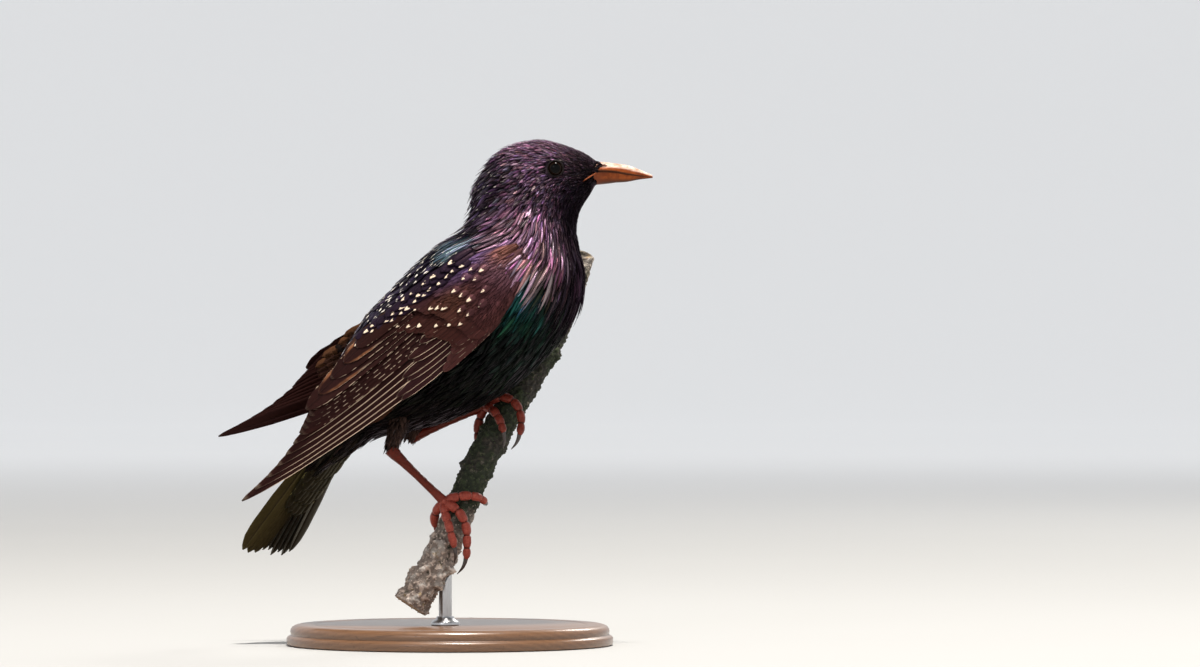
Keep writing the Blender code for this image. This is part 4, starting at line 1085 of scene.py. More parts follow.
bill = {
    # x, ridge z, mouth z, lower z, half width
    "rows": [(53.4, 183.8, 180.2, 174.8, 4.6), (55.7, 183.7, 180.0, 174.9, 4.2),
             (59.0, 183.5, 180.0, 175.2, 3.7), (63.0, 183.0, 179.7, 175.7, 3.0),
             (67.2, 182.4, 178.9, 176.0, 2.2), (71.5, 180.9, 178.3, 176.8, 1.5),
             (75.4, 179.2, 177.9, 177.3, 0.8), (77.0, 178.4, 177.8, 177.5, 0.35)],
    "gap": 0.0,
    # x, z of the bare line to the mouth's corner
    "gape": [(55.0, 178.9), (50.4, 175.9)], "gapeWide": 0.75,
    "nostril": (58.3, 182.0), "nostrilSize": (1.5, .62), "nostrilDepth": .75,
}


def billMaterial():
    material, tree, shader = newMaterial("billHorn")
    place = objectPlace(tree)
    (rise, upper, ahead), _ = painted(tree, "mouth")
    streaks = noiseAt(place, 420.0, 4.0, .6, (.18, 1.0, 1.0))
    wobble = scaled(streaks, .36, -.18)
    mottle = scaled(noiseAt(place, 330.0, 4.0, .65), .7, times(streaks, .5))
    cream = blend(between(mottle, .42, .72), (.52, .260, .175), (.86, .680, .570))
    amber = blend(between(mottle, .40, .75), (.120, .017, .003), (.320, .068, .012))
    risen = plus(rise, wobble)
    colour = blend(times(upper, between(risen, .34, .58)), amber, cream)
    # the underside is painted in shade, the base is reddish brown, and a line of painted shade runs along
    # the cutting edges
    under = times(calc("SUBTRACT", 1.0, upper), between(risen, .45, .95))
    colour = blend(times(under, .85), colour, (.022, .007, .004))
    base = between(scaled(wobble, .5, ahead), .10, .36, 1.0, 0.0)
    colour = blend(times(base, .65), colour, (.170, .034, .014))
    # painted shade: a dark line where the mandibles meet and in the lip's groove
    colour = blend(between(rise, .05, .15, .85, 0.0), colour, (.030, .010, .006))
    # painted shade: the nostril opening is a dark patch over the shallow groove
    nostril = addNode(tree, "VectorMath", {"operation": "SUBTRACT"})
    put(place, nostril.inputs[0])
    nostril.inputs[1].default_value = (bill["nostril"][0] * mm, 0, bill["nostril"][1] * mm)
    gap = xyzOf(nostril.outputs[0])
    far = calc("SQRT", plus(squared(calc("DIVIDE", gap[0], .00185)),
                            squared(calc("DIVIDE", gap[2], .00075))))
    fine = noiseAt(place, 2600.0, 2.0)
    finishWith(shader, colour=blend(between(far, .55, 1.0, .95, 0.0), colour, (.045, .010, .007)),
               roughness=scaled(streaks, .22, .34), specular=.34, tint=(1.0, .72, .52),
               normal=bumpFrom(plus(mottle, times(fine, .3)), .40, .0002))
    return material


# painted shade of a lip: a dark groove between two pale rims
def lipShade(turn, count):
    rims = np.append(np.tile(.07 + .13 * np.abs(np.cos(turn)), count), (.35, .35))
    return stacked(rims, np.zeros(len(rims)), np.full(len(rims), .5), np.ones(len(rims)))


# points on one side of the face above given x, z places
def faceLine(line, side):
    t, turn = np.meshgrid(np.linspace(-.9, 3, 160), math.pi * (1 - side * np.linspace(.15, .85, 160)),
                          indexing="ij")
    skin = bodySheet(t, turn, 0).reshape(-1, 3)
    gap = np.linalg.norm(skin[None, :, [0, 2]] - line[:, None], axis=2)
    y = skin[gap.argmin(1), 1]
    y = np.convolve(np.pad(y, 3, "edge"), np.ones(7) / 7, "valid")
    return stacked(line[:, 0], y, line[:, 1])


def makeBill():
    finish = billMaterial()
    steps, arc = 90, 33
    row = smoothRows(bill["rows"], np.linspace(0, len(bill["rows"]) - 1, steps))
    for way, node in ((1, "bill_upper"), (-1, "bill_lower")):
        angle = np.linspace(0, math.pi, arc)
        x, mouth, half = row[:, 0], row[:, 2], row[:, 4] * (1.0 if way > 0 else .93)
        edge = row[:, 1] if way > 0 else row[:, 3]
        keel = np.abs(np.sin(angle)) ** (.86 if way > 0 else .92)
        y = -np.cos(angle)[None] * half[:, None]
        base = (mouth + way * bill["gap"])[:, None]
        z = base + (edge - mouth - way * bill["gap"])[:, None] * keel[None]
        # a shallow groove runs back from the nostril, and the cutting edges stand out a little
        fall = np.exp(-((x[:, None] - bill["nostril"][0]) / bill["nostrilSize"][0]) ** 2
                      - ((z - bill["nostril"][1]) / bill["nostrilSize"][1]) ** 2)
        if way > 0:
            y = y * (1 - fall * bill["nostrilDepth"] / np.maximum(np.abs(y), 1.2))
        rings = stacked(np.repeat(x[:, None], arc, 1), y, z)
        floor = rings[:, 1:-1][:, ::-1].copy()
        floor[..., 2] = base
        floor = floor[:, ::4]
        points, faces = closedTube(np.concatenate([rings, floor], 1))
        ahead = np.linspace(0, 1, steps)[:, None] + np.zeros(arc + floor.shape[1])
        rise = np.concatenate([np.sin(angle), np.zeros(floor.shape[1])]) + np.zeros(ahead.shape)
        shade = withEnds(stacked(rise, np.full(ahead.shape, float(way > 0)), ahead, np.ones(ahead.shape)))
        meshPiece("billUpper" if way > 0 else "billLower", points, faces, finish, (node,),
                  {}, {"mouth": shade})
    # the bare edge of the mouth runs back over the face as a low ridge with a groove
    parts, shades = [], []
    angle = np.arange(24) * tau / 24
    for side in (-1, 1):
        f = np.linspace(-.12, 1, 40)
        first, last = np.array(bill["gape"])
        line = first + (last - first) * f[:, None] + np.array((0, .5)) * (f * (1 - f))[:, None]
        path = faceLine(line, side)
        radius = bill["gapeWide"] * .46 * lineAt([(-.12, 1), (.5, .85), (.85, .5), (1, .12)], f)
        _, across, up = pathFrames(path)
        away = radius[:, None] * (1 - .45 * np.exp(-((np.cos(angle)[None] * 3) ** 2)))
        parts.append([ringsRound(path, across, up, away * np.cos(angle), away * np.sin(angle))])
        shades.append(lipShade(angle, len(path)))
    points, faces, _ = joinTubes(parts)
    meshPiece("mouthCorners", points, faces, finish, (), {},
              {"mouth": np.concatenate(shades)})


eyeLook = {
    "place": (40.1, 9.3, 180.9),
    "radius": 3.1,
    "lidRing": 2.98, "lidThick": .26, "lidY": 11.15,
    "lidSteps": 168, "lidSides": 10, "beads": 28,
}


def eyeMaterial():
    material, tree, shader = newMaterial("eyeGloss")
    place = objectPlace(tree)
    split = xyzOf(place)
    dx = calc("SUBTRACT", split[0], eyeLook["place"][0] * mm)
    dz = calc("SUBTRACT", split[2], eyeLook["place"][2] * mm)
    far = calc("SQRT", plus(squared(dx), squared(dz)))
    iris = blend(noiseAt(place, 1600.0), (.003, .002, .0015), (.014, .006, .003))
    finishWith(shader, colour=blend(between(far, .00170, .00190), (.002, .002, .002), iris),
               roughness=.06, ior=1.18)
    return material


def lidMaterial():
    material, tree, shader = newMaterial("eyelidSkin")
    grain = noiseAt(objectPlace(tree), 1800.0)
    finishWith(shader, colour=blend(grain, (.003, .002, .002), (.014, .007, .006)), specular=.2,
               normal=bumpFrom(grain, .5, .0002), roughness=.5)
    return material


def makeEyes():
    finish = eyeMaterial()
    lidFinish = lidMaterial()
    for side, word in ((-1, "Right"), (1, "Left")):
        x, y, z = eyeLook["place"]
        v, w = np.meshgrid(np.linspace(.03, math.pi - .03, 40), np.arange(56) * tau / 56, indexing="ij")
        rings = stacked(x + eyeLook["radius"] * np.sin(v) * np.cos(w),
                        side * y + eyeLook["radius"] * np.cos(v),
                        z + eyeLook["radius"] * np.sin(v) * np.sin(w))
        points, faces = closedTube(rings)
        meshPiece("eye" + word, points, faces, finish, ("eye_" + word.lower(),))
        # lid: a beaded ring, a little thicker above
        steps, sides = eyeLook["lidSteps"], eyeLook["lidSides"]
        turn = np.arange(steps) * tau / steps
        bead = 1 + .16 * np.abs(np.sin(turn * (eyeLook["beads"] / 2))) + .15 * np.sin(turn)
        k = np.arange(sides) * tau / sides
        out = eyeLook["lidRing"] + eyeLook["lidThick"] * bead[:, None] * np.cos(k)
        lid = stacked(x + out * np.cos(turn)[:, None],
                      side * (eyeLook["lidY"] + eyeLook["lidThick"] * bead[:, None] * np.sin(k)),
                      z + out * np.sin(turn)[:, None])
        quads = loopFaces(steps, sides)[:, ::-side]
        meshPiece("eyelid" + word, lid.reshape(-1, 3), [quads], lidFinish)


branch = {
    # x, y, z, radius
    "rows": [(-14.8, -14.5, 15.6, 6.9), (-5.8, -12.6, 29.6, 6.3), (0.6, -9.5, 43.4, 6.0),
             (6.0, -4.5, 56.6, 6.2), (12.9, 4.0, 72.2, 6.3), (20.1, 12.0, 85.5, 6.2),
             (28.1, 21.0, 98.8, 6.0), (36.1, 30.0, 112.1, 5.6), (42.2, 38.0, 125.4, 5.3),
             (46.7, 44.5, 136.8, 5.0), (50.2, 50.5, 148.2, 4.8)],
    "steps": 420, "sides": 110,
    # height of the crust, how much more it is on the lower end, and height of the cracks
    "crust": .50, "lowCrust": 1.15, "lowTop": 52, "lowFade": 12, "crack": .66,
    "gripReach": 16,
    # distance along, turn, size, height of each knob
    "knobs": [(12, 20, 2.8, 2.2), (19, 150, 3.0, 1.9), (25, 60, 2.4, 1.6), (31, 285, 2.2, 1.6),
              (60, 330, 2.4, 1.5), (74, 200, 2.8, 1.6), (96, 350, 2.4, 1.7), (118, 160, 2.6, 1.5),
              (131, 20, 2.0, 1.3), (143, 250, 2.2, 1.4)],
}
branchSteps = np.linspace(0, len(branch["rows"]) - 1, 401)
branchLine = smoothRows(branch["rows"], branchSteps)
branchReach = np.concatenate([[0], np.cumsum(np.linalg.norm(np.diff(branchLine[:, :3], axis=0), axis=1))])


# point at a distance along the branch, a turn in degrees from its upper left, and a lift off it
def branchSheet(distance, turn, lift):
    distance = np.asarray(distance, float)
    fine = np.stack([np.interp(distance, branchReach, branchLine[:, k]) for k in range(4)], -1)
    ahead = np.stack([np.interp(np.minimum(distance + .7, branchReach[-1]), branchReach, branchLine[:, k])
                      for k in range(3)], -1)
    behind = np.stack([np.interp(np.maximum(distance - .7, 0), branchReach, branchLine[:, k])
                       for k in range(3)], -1)
    tangent = unit(ahead - behind)
    left = stacked(-tangent[..., 2], np.zeros(tangent.shape[:-1]), tangent[..., 0])
    left = unit(left - tangent * np.einsum("...i,...i->...", left, tangent)[..., None])
    near = np.cross(tangent, left)
    near = np.where(near[..., 1:2] > 0, -near, near)
    angle = np.radians(turn)
    out = left * np.cos(angle)[..., None] + near * np.sin(angle)[..., None]
    return fine[..., :3] + out * (fine[..., 3] + lift)[..., None]


def barkMaterial():
    material, tree, shader = newMaterial("lichenBark")
    place = objectPlace(tree)
    (lump, groove, ring), isBark = painted(tree, "relief")
    coarse = noiseAt(place, 95.0, 5.0, .62)
    medium = noiseAt(place, 420.0, 4.0, .6)
    fine = noiseAt(place, 1900.0, 3.0, .6)
    bark = blend(medium, (.016, .013, .009), (.070, .055, .036))
    moss = blend(fine, (.012, .018, .006), (.050, .064, .022))
    crust = blend(medium, (.300, .218, .172), (.640, .510, .430))
    pale = blend(fine, (.580, .490, .425), (.780, .700, .630))
    colour = blend(between(coarse, .40, .52), bark, moss)
    # the pale crust lies on the lower end and on the top, with small flecks of it between
    high = scaled(coarse, .030, xyzOf(place)[2])
    top = times(between(high, .128, .146), between(coarse, .40, .60, 1.0, .25))
    low = calc("MAXIMUM", between(high, .055, .068, 1.0, 0.0), top)
    flecks = between(medium, .60, .70, 0.0, .35)
    cover = calc("MAXIMUM", times(low, between(plus(medium, lump), .08, .30)), flecks)
    colour = blend(cover, colour, crust)
    colour = blend(times(low, between(plus(fine, lump), .75, 1.0)), colour, pale)
    ochre = between(noiseAt(place, 260.0, 2.0), .64, .70, 0.0, .6)
    colour = blend(times(low, ochre), colour, (.36, .24, .075))
    # painted shade in the cracks, where the bark lies lowest
    colour = shaded(colour, between(groove, .0, .5, .45, 1.0))
    # cut ends: pale wood with rings
    rings = calc("SINE", times(ring, 46.0))
    wood = blend(scaled(rings, .35, .5), (.42, .29, .16), (.62, .47, .29))
    finishWith(shader, colour=blend(isBark, wood, colour), roughness=scaled(fine, .2, .74),
               normal=bumpFrom(plus(medium, times(fine, .5)), .8, .0006))
    return material


def makePerch():
    steps, sides = branch["steps"], branch["sides"]
    distance, turn = np.meshgrid(np.linspace(0, branchReach[-1], steps), np.arange(sides) * 360 / sides,
                                 indexing="ij")
    smooth = branchSheet(distance, turn, 0)
    lump, crack = np.zeros(distance.shape), np.zeros(distance.shape)
    for i in range(steps):
        for k in range(sides):
            p = Vector(smooth[i, k])
            lump[i, k] = noise.fractal(p * .21, .9, 2.1, 4)
            crack[i, k] = noise.turbulence(p * .62, 3, False)
    spots = np.clip(lump * 1.7, -.2, 1)
    # the lower end is the more lumpy
    low = np.clip((branch["lowTop"] - smooth[..., 2]) / branch["lowFade"], 0, 1)
    rough = branch["crust"] + branch["lowCrust"] * low
    height = rough * np.clip(lump, -.7, 1.2) + branch["crack"] * (crack - .35) - .25
    for along, atTurn, size, high in branch["knobs"]:
        gap = np.hypot(distance - along, ((turn - atTurn + 180) % 360 - 180) * math.pi / 180 * 6)
        height += high * np.exp(-(gap / size) ** 2) * (1 + .35 * (crack - .3))
    # the grip of the toes stays smooth, and the crust ends at the square cuts
    height = np.where(height > .1, .1 + (height - .1) * gripRoom(distance), height)
    ends = np.minimum(distance, branchReach[-1] - distance)
    height *= np.clip(ends / 1.2, .15, 1)
    rings = branchSheet(distance, turn, height)
    cap = [smooth[0].mean(0), smooth[-1].mean(0)]
    shrink = np.linspace(.93, .08, 8)
    first = np.stack([cap[0] + (rings[0] - cap[0]) * s for s in shrink[::-1]])
    last = np.stack([cap[1] + (rings[-1] - cap[1]) * s for s in shrink])
    points, faces = closedTube(np.concatenate([first, rings, last]))
    relief = np.zeros((steps + 16, sides, 4))
    relief[8:-8] = stacked(spots, crack, np.zeros(spots.shape), np.ones(spots.shape))
    relief[:8, :, 2] = shrink[::-1, None]
    relief[-8:, :, 2] = shrink[:, None]
    relief = np.concatenate([relief.reshape(-1, 4), [[0, 0, 0, 0], [0, 0, 0, 0]]])
    return meshPiece("perchBark", points, faces, barkMaterial(), ("perch",), {},
                     {"relief": relief})


# share of the crust's height kept, less near the two feet
def gripRoom(distance):
    room = np.ones(distance.shape)
    for word in ("right", "left"):
        grip = gripDistance(legs[word]["gripZ"])
        room = np.minimum(room, np.clip(np.abs(distance - grip - 1) / branch["gripReach"], 0, 1))
    return room


def gripDistance(z):
    return branchReach[np.argmin(np.abs(branchLine[:, 2] - z))]


def crumbMaterial():
    material, tree, shader = newMaterial("lichenCrumbs")
    grain = noiseAt(objectPlace(tree), 900.0)
    height = xyzOf(objectPlace(tree))[2]
    pale = blend(grain, (.280, .208, .165), (.680, .570, .495))
    dark = blend(grain, (.014, .020, .007), (.060, .072, .030))
    level = scaled(grain, .03, height)
    upper = calc("MINIMUM", between(level, .060, .072), between(level, .132, .152, 1.0, .35))
    finishWith(shader, colour=blend(upper, pale, dark), normal=bumpFrom(grain, .6, .0003), roughness=.85)
    return material


crumbs = {
    # metres
    "sizes": {"Spacing": .0010, "Smallest": .00012, "Largest": .00046},
    "density": 260000.0,
    "subdivisions": 1,
    "placeSeed": 4,
    "sizeSeed": 9,
}


# crumbs of lichen scattered over the bark with Geometry Nodes
def makeCrumbs(perch):
    finish = crumbMaterial()
    group = bpy.data.node_groups.new("scatterCrumbs", "GeometryNodeTree")
    face = group.interface
    face.new_socket("Geometry", in_out="INPUT", socket_type="NodeSocketGeometry")
    sizes = {key: face.new_socket(key, in_out="INPUT", socket_type="NodeSocketFloat")
             for key in crumbs["sizes"]}
    face.new_socket("Geometry", in_out="OUTPUT", socket_type="NodeSocketGeometry")
    into, out, spread, ball, place, size, squash, real, smooth, paint = (group.nodes.new(kind) for kind in (
        "NodeGroupInput", "NodeGroupOutput", "GeometryNodeDistributePointsOnFaces",
        "GeometryNodeMeshIcoSphere", "GeometryNodeInstanceOnPoints", "FunctionNodeRandomValue",
        "ShaderNodeCombineXYZ", "GeometryNodeRealizeInstances", "GeometryNodeSetShadeSmooth",
        "GeometryNodeSetMaterial"))
    spread.distribute_method = "POISSON"
    spread.inputs["Density Max"].default_value = crumbs["density"]
    spread.inputs["Seed"].default_value = crumbs["placeSeed"]
    ball.inputs["Radius"].default_value = 1.0
    ball.inputs["Subdivisions"].default_value = crumbs["subdivisions"]
    size.inputs["Seed"].default_value = crumbs["sizeSeed"]
    paint.inputs["Material"].default_value = finish
    for source, output, target, entry in (
            (into, "Geometry", spread, "Mesh"), (into, "Spacing", spread, "Distance Min"),
            (spread, "Points", place, "Points"), (spread, "Rotation", place, "Rotation"),
            (ball, "Mesh", place, "Instance"), (into, "Smallest", size, 2), (into, "Largest", size, 3),
            (size, 1, squash, 0), (size, 1, squash, 1), (size, 1, squash, 2), (squash, 0, place, "Scale"),
            (place, "Instances", real, "Geometry"), (real, "Geometry", smooth, "Geometry"),
            (smooth, "Geometry", paint, "Geometry"), (paint, "Geometry", out, "Geometry")):
        group.links.new(source.outputs[output], target.inputs[entry])
    carrier = bpy.data.objects.new("lichenCrumbs", perch.data.copy())
    bpy.context.scene.collection.objects.link(carrier)
    scatter = carrier.modifiers.new("scatter", "NODES")
    scatter.node_group = group
    for key, value in crumbs["sizes"].items():
        scatter[sizes[key].identifier] = value
    made = bpy.data.meshes.new_from_object(carrier.evaluated_get(bpy.context.evaluated_depsgraph_get()))
    carrier.modifiers.clear()
    carrier.data = made
    print("lichenCrumbs", len(made.polygons), "triangles")
    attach(carrier, "root")


toe = {"radius": 1.95, "steps": 150, "sides": 28, "scutes": 12, "plate": .05, "pad": .10, "crease": .17}
toeJoints = {
    "hallux": (.30, .62), "inner": (.26, .50, .76), "middle": (.22, .42, .62, .82),
    "outer": (.24, .46, .72),
}
shank = {
    "steps": 110, "radius": 1.75, "scutes": 8, "plate": .10, "front": (1.0, -.25, 0.0),
    "profile": [(0, 1.42), (.10, 1.34), (.24, 1.04), (.5, .86), (.8, .92), (1, 1.16)],
    # painted light along the shank, darker towards the heel
    "glow": [(0, 0), (.7, .06), (1, .4)],
}
# the palm's glow is its share of painted light
palmBall = {"radius": 2.35, "lift": 2.45, "lump": .12, "glow": .7}
claw = {
    "steps": 36, "sides": 18, "start": -.6, "length": 7.25, "narrow": .8,
    "lift": [(0, 1.25), (.3, 1.75), (.62, 1.7), (1, .78)],
    "radius": [(0, .95), (.3, .78), (.62, .54), (.9, .24), (1, .10)],
}
# distance along the branch, turn round it and lift of each toe from the palm on
toeRoutes = {
    "right": {
        "hallux": [(-.5, 0, 0), (-4, -44, 0), (-7.5, -90, 0), (-9, -128, 0)],
        "inner": [(1, 6, 0), (3.8, 42, 0), (6, 80, .1), (6.6, 110, .4)],
        "middle": [(-.5, 8, 0), (-2.2, 48, 0), (-6, 82, .4), (-11, 100, 1.4), (-15.5, 112, 2.4)],
        "outer": [(-1.5, 2, 0), (-5.4, 20, 0), (-9.4, 44, 0), (-14, 72, .3)],
    },
    "left": {
        "hallux": [(-.5, 0, 0), (-4.5, -26, 0), (-9, -52, 0), (-12, -84, 0)],
        "inner": [(-1, 10, 0), (-3.4, 50, 0), (-6.6, 80, .4), (-9.6, 98, .9)],
        "middle": [(.8, 8, 0), (3.4, 52, .2), (2.4, 92, 1.4), (-1.6, 116, 2.8), (-7, 128, 3.8)],
        "outer": [(2, 2, 0), (6.5, -4, 0), (11, -14, 0), (14.5, -34, 0)],
    },
}


def legMaterial():
    material, tree, shader = newMaterial("scaledLegSkin")
    place = objectPlace(tree)
    (seamAndCreaseShade, glow, _), _ = painted(tree, "relief")
    grain = noiseAt(place, 700.0, 4.0)
    scales = addNode(tree, "TexVoronoi", {"feature": "DISTANCE_TO_EDGE"}, Vector=place, Scale=1500.0)
    # painted light: the skin blends from a shaded copy to a lit copy by the glow value
    litSkin = blend(grain, (.150, .010, .006), (.520, .115, .080))
    dark = blend(grain, (.048, .0032, .0010), (.112, .0100, .0036))
    small = between(scales.outputs[0], .0, .12, .72, 1.0)
    # the scute seams are dark joints; the creases at the joints add painted shade
    colour = shaded(shaded(blend(glow, dark, litSkin), between(seamAndCreaseShade, .02, .95, .14, 1.0)), small)
    finishWith(shader, colour=colour, roughness=scaled(grain, .2, .24),
               normal=bumpFrom(plus(small, times(grain, .4)), .55, .00018), coat=.12, coatRoughness=.12,
               specular=.34, tint=(1.0, .42, .32), subsurface=.06, subsurfaceReach=(.0012, .0004, .0003))
    return material


# a toe or shank with overlapping plates on its upper side and pads beneath
def scaledTube(path, radius, count, plate, glow, topWay=None, pad=0.0, joints=()):
    sides = toe["sides"]
    along, across, up = pathFrames(path)
    if topWay is not None:      # turn the frames so that up points away from the branch
        up = unit(topWay - along * np.einsum("ij,ij->i", topWay, along)[:, None])
        across = np.cross(up, along)
    f = np.linspace(0, 1, len(path))
    angle = np.arange(sides) * tau / sides
    upward = np.clip(np.cos(angle), 0, 1) ** .6
    saw = (f * count) % 1.0
    scute = plate * (saw ** .8 - .5)[:, None] * upward[None]
    crease = sum(np.exp(-((f - j) / .020) ** 2) for j in joints) if joints else np.zeros(len(f))
    scute = scute - toe["crease"] * crease[:, None]
    belly = np.clip(-np.cos(angle), 0, 1)
    bulge = sum(np.exp(-((f - j - .09) / .05) ** 2) for j in joints) if joints else np.zeros(len(f))
    ripple = .4 * np.sin(f * count * 5) * .3
    r = radius[:, None] * (1 + scute + pad * belly[None] * (ripple + bulge)[:, None])
    rings = ringsRound(path, up, across, r * np.cos(angle), r * np.sin(angle))
    seamAndCreaseShade = 1 - .45 * np.clip(1 - np.minimum(saw, 1 - saw) / .14, 0, 1)[:, None] * upward[None]
    # painted shade in the creases at the joints darkens the seams further
    seamAndCreaseShade = seamAndCreaseShade * (1 - .9 * np.clip(crease, 0, 1)[:, None])
    relief = stacked(seamAndCreaseShade, np.broadcast_to(glow, seamAndCreaseShade.shape), np.zeros(seamAndCreaseShade.shape), np.ones(seamAndCreaseShade.shape))
    return rings, relief


def makeLeg(word):
    leg = legs[word]
    grip = gripDistance(leg["gripZ"])
    palm = branchSheet(grip, leg["palmTurn"], palmBall["lift"])
    heel = np.array(leg["heel"])
    parts = []
    # shank
    path = heel[None] + (palm - heel)[None] * np.linspace(-.02, 1.0, shank["steps"])[:, None]
    f = np.linspace(0, 1, shank["steps"])
    radius = shank["radius"] * lineAt(shank["profile"], f)
    front = np.tile(shank["front"], (len(path), 1))
    # painted light along the shank, scaled by the leg's share
    glow = lineAt(shank["glow"], f)[:, None] * leg["glow"]
    parts.append(scaledTube(path, radius, shank["scutes"], shank["plate"], glow, front))
    # palm
    v, w = np.meshgrid(np.linspace(.05, math.pi - .05, 24), np.arange(28) * tau / 28, indexing="ij")
    ball = palm + palmBall["radius"] * stacked(np.sin(v) * np.cos(w), np.sin(v) * np.sin(w), np.cos(v))
    ball = ball + palmBall["lump"] * np.sin(ball * 5.5).sum(-1, keepdims=True) * .3
    relief = np.zeros((*v.shape, 4)) + (.9, palmBall["glow"] * leg["glow"], 0, 1)
    parts.append((ball, relief))
    for name, route in toeRoutes[word].items():
        f = np.linspace(0, 1, toe["steps"])
        step, turn, rise = smoothRows(route, f * (len(route) - 1)).T
        knuckles = toeJoints[name]
        swell = np.abs(np.sin(math.pi * np.interp(f, [0, *knuckles, 1], range(len(knuckles) + 2)))) ** .7
        radius = toe["radius"] * (1 - .26 * f) * (.84 + .16 * swell)
        radius = radius * lineAt([(0, .75), (.06, 1), (.93, 1), (.98, .86), (1, .62)], f)
        beyond = np.clip((f - .93) / .07, 0, 1)     # the last joint runs on under the claw
        ahead = smoothRows(route, len(route) - 1.0) - smoothRows(route, len(route) - 1.1)
        step, turn = step + ahead[0] * .5 * beyond, turn + ahead[1] * .5 * beyond
        path = branchSheet(grip + step, leg["palmTurn"] + turn, rise + .42 + radius)
        away = branchSheet(grip + step, leg["palmTurn"] + turn, rise + 4 + radius) - path
        # painted light along each toe
        glow = lineAt([(0, .75), (.5, 1.0), (1, .85)], f)[:, None] * leg["glow"]
        parts.append(scaledTube(path, radius, toe["scutes"], toe["plate"], glow, away, toe["pad"],
                                knuckles))
    points, faces, (relief,) = joinTubes(parts)
    finish = bpy.data.materials.get("scaledLegSkin") or legMaterial()
    meshPiece("leg" + word.capitalize(), points, faces, finish,
              ("tarsus_" + word, "foot_" + word), {}, {"relief": relief})
    for name, route in toeRoutes[word].items():
        makeClaw(word, name, route, grip)


def clawMaterial():
    material, tree, shader = newMaterial("darkClawHorn")
    streak = noiseAt(objectPlace(tree), 900.0)
    finishWith(shader, colour=blend(streak, (.012, .009, .008), (.070, .045, .036)),
               roughness=scaled(streak, .2, .22), normal=bumpFrom(streak, .3, .0001), coat=.3)
    return material


def makeClaw(word, name, route, grip):
    leg = legs[word]
    endStep, endTurn, rise = route[-1]
    run = math.hypot(endStep - route[-2][0], math.radians(endTurn - route[-2][1]) * 7.5)
    stepRate, turnRate = (endStep - route[-2][0]) / run, (endTurn - route[-2][1]) / run
    f = np.linspace(0, 1, claw["steps"])
    reach = claw["start"] + claw["length"] * f
    lift = lineAt(claw["lift"], f)
    lift = np.convolve(np.pad(lift, 4, "edge"), np.ones(9) / 9, "valid")
    radius = curveAt(claw["radius"], f)
    path = branchSheet(grip + endStep + stepRate * reach,
                       leg["palmTurn"] + endTurn + turnRate * reach * (1 - .15 * f),
                       lift + .3 + rise * (1 - .35 * f))
    _, across, up = pathFrames(path)
    angle = np.arange(claw["sides"]) * tau / claw["sides"]
    wide, high = radius[:, None] * np.cos(angle) * claw["narrow"], radius[:, None] * np.sin(angle)
    points, faces = closedTube(ringsRound(path, across, up, wide, high))
    finish = bpy.data.materials.get("darkClawHorn") or clawMaterial()
    meshPiece("claw" + name.capitalize() + word.capitalize(), points, faces, finish,
              ("claw_" + name + "_" + word,))


stand = {
    # radius and height of the turned edge, from the underside up
    "profile": [(0, 0), (60.6, 0), (61.6, .35), (62, 1.1), (62, 2.9), (61.6, 3.5), (60.9, 3.8),
                (60.5, 4.2), (60.5, 4.6), (60.7, 5.2), (60.5, 6.2), (59.9, 7.1), (58.9, 7.7),
                (57.6, 8.0), (52.4, 8.0), (52.0, 7.86), (51.4, 7.72), (50.8, 7.86), (50.4, 8.0),
                (0, 8.0)],
    "sides": 160,
    "rodAt": (-1.5, -11), "collarSides": 72,
    "collar": [(2.55, 8.05), (5.2, 8.05), (5.4, 8.3), (5.4, 9.0), (5.0, 9.6), (4.0, 10.2), (3.4, 10.9),
               (3.2, 11.4), (2.55, 11.4)],
}


def woodMaterial():
    material, tree, shader = newMaterial("turnedWood")
    place = objectPlace(tree)
    warp = noiseAt(place, 14.0)
    bent = addNode(tree, "Mapping", Vector=place, Location=(.03, .19, .05),
                   Rotation=(.04, .05, .35)).outputs[0]
    split = xyzOf(bent)
    far = calc("SQRT", plus(squared(split[1]), squared(times(split[2], 3.0))))
    rings = calc("SINE", scaled(warp, 34.0, times(far, 1300.0)))
    fibre = noiseAt(bent, 700.0, 4.0, .6, (.05, 1.0, 1.0))
    pores = noiseAt(bent, 2600.0, 2.0, .5, (.03, 1.0, 1.0))
    colour = blend(scaled(rings, .13, .5), (.140, .062, .028), (.290, .148, .070))
    colour = blend(times(fibre, .55), colour, (.085, .038, .018))
    finishWith(shader, colour=blend(between(pores, .60, .72, 0.0, .6), colour, (.045, .022, .012)),
               roughness=scaled(fibre, .16, .26), normal=bumpFrom(plus(fibre, pores), .12, .0002),
               coat=.35, coatRoughness=.16)
    return material


def steelMaterial():
    material, tree, shader = newMaterial("brushedSteel")
    brush = noiseAt(objectPlace(tree), 900.0, 3.0, .6, (1.0, 1.0, .06))
    finishWith(shader, colour=blend(brush, (.42, .42, .43), (.64, .64, .65)),
               roughness=scaled(brush, .2, .22), normal=bumpFrom(brush, .15, .0001), metallic=1.0)
    return material


# rings of a turned shape round an upright axis
def turned(profile, sides, at=(0, 0)):
    angle = np.arange(sides) * tau / sides
    radius, height = np.array([p for p in profile if p[0] > 0], float).T[..., None]
    return stacked(at[0] + radius * np.cos(angle), at[1] + radius * np.sin(angle), height + 0 * angle)


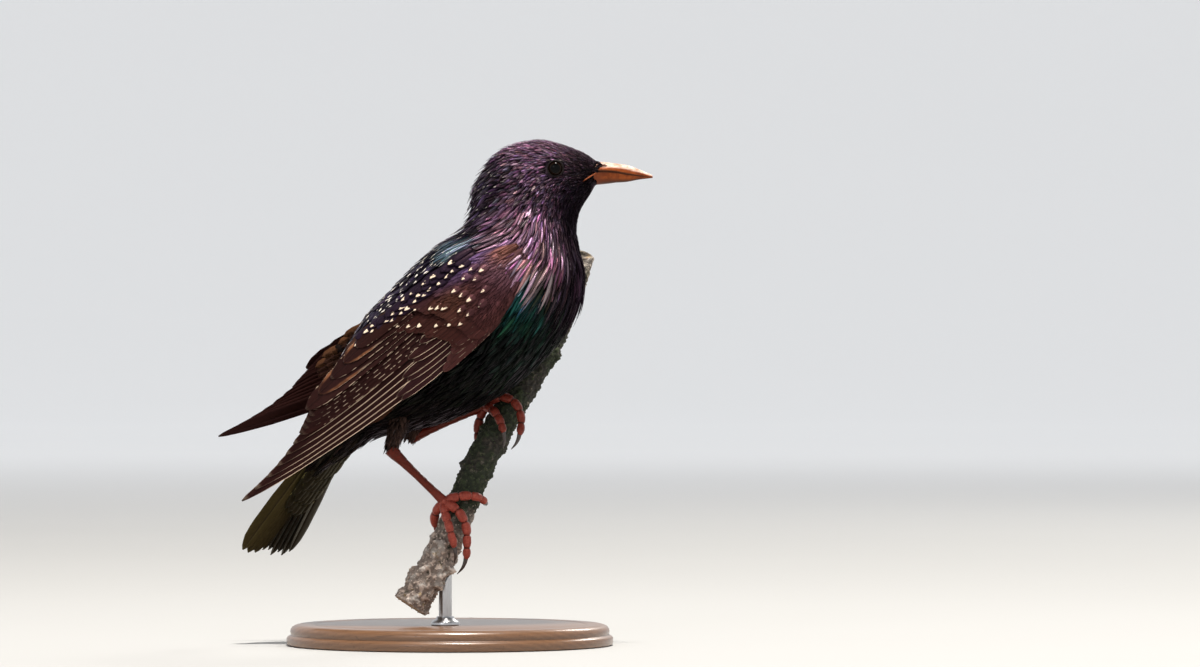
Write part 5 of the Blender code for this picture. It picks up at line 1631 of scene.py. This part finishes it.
def makeStand():
    points, faces = closedTube(turned(stand["profile"], stand["sides"]))
    meshPiece("turnedBase", points, faces, woodMaterial(), ("stand_base",), sharp=35)
    steel = steelMaterial()
    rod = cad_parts["stand_rod"]
    rod.data.materials.clear()
    rod.data.materials.append(steel)
    rings = turned(stand["collar"], stand["collarSides"], stand["rodAt"])
    meshPiece("rodCollar", rings.reshape(-1, 3), [loopFaces(*rings.shape[:2])], steel,
              sharp=35)


def makeFloor():
    material, tree, shader = newMaterial("paleFloor")
    soft = noiseAt(objectPlace(tree), 3.0, 2.0)
    colour = blend(soft, studio["floorColour"], tuple(c * 1.03 for c in studio["floorColour"]))
    far = addNode(tree, "VectorMath", {"operation": "LENGTH"})
    put(objectPlace(tree), far.inputs[0])
    finishWith(shader, colour=colour, roughness=.8, glow=studio["skyColour"],
               glowStrength=between(far.outputs["Value"], .5, 4.2, 0.0, studio["wallGlow"]))
    radius, high = studio["floorRadius"], studio["wallHeight"]
    bend = np.linspace(0, math.pi / 2, 24)
    profile = [(.02, 0), (1.0, 0)] + [(radius - 3 + 3 * math.sin(a), 3 - 3 * math.cos(a)) for a in bend]
    profile += [(radius, 3 + high)]
    rings = turned(profile, 128) * 1000
    rows, sides = rings.shape[:2]
    quads, fans = ringFaces(rows, sides)
    points = np.concatenate([rings.reshape(-1, 3), [[0, 0, 0]]])
    mesh = bpy.data.meshes.new("floor")
    mesh.from_pydata((points * mm).tolist(), [],
                     [q[::-1].tolist() for q in quads] + [f[::-1].tolist() for f in fans[:sides]])
    mesh.shade_smooth()
    mesh.materials.append(material)
    floor = bpy.data.objects.new("floor", mesh)
    bpy.context.scene.collection.objects.link(floor)


makeCamera()
makeLamps()
makeFloor()
print("studio ready")
bodyCoat()
bodySkin()
thighFeathers()
print("body coat ready")
makeWing(-1, "Right")
makeWing(1, "Left")
makeTail()
print("wings and tail ready")
makeBill()
makeEyes()
print("head ready")
perch = makePerch()
makeCrumbs(perch)
makeLeg("right")
makeLeg("left")
makeStand()
print("perch, legs and stand ready")
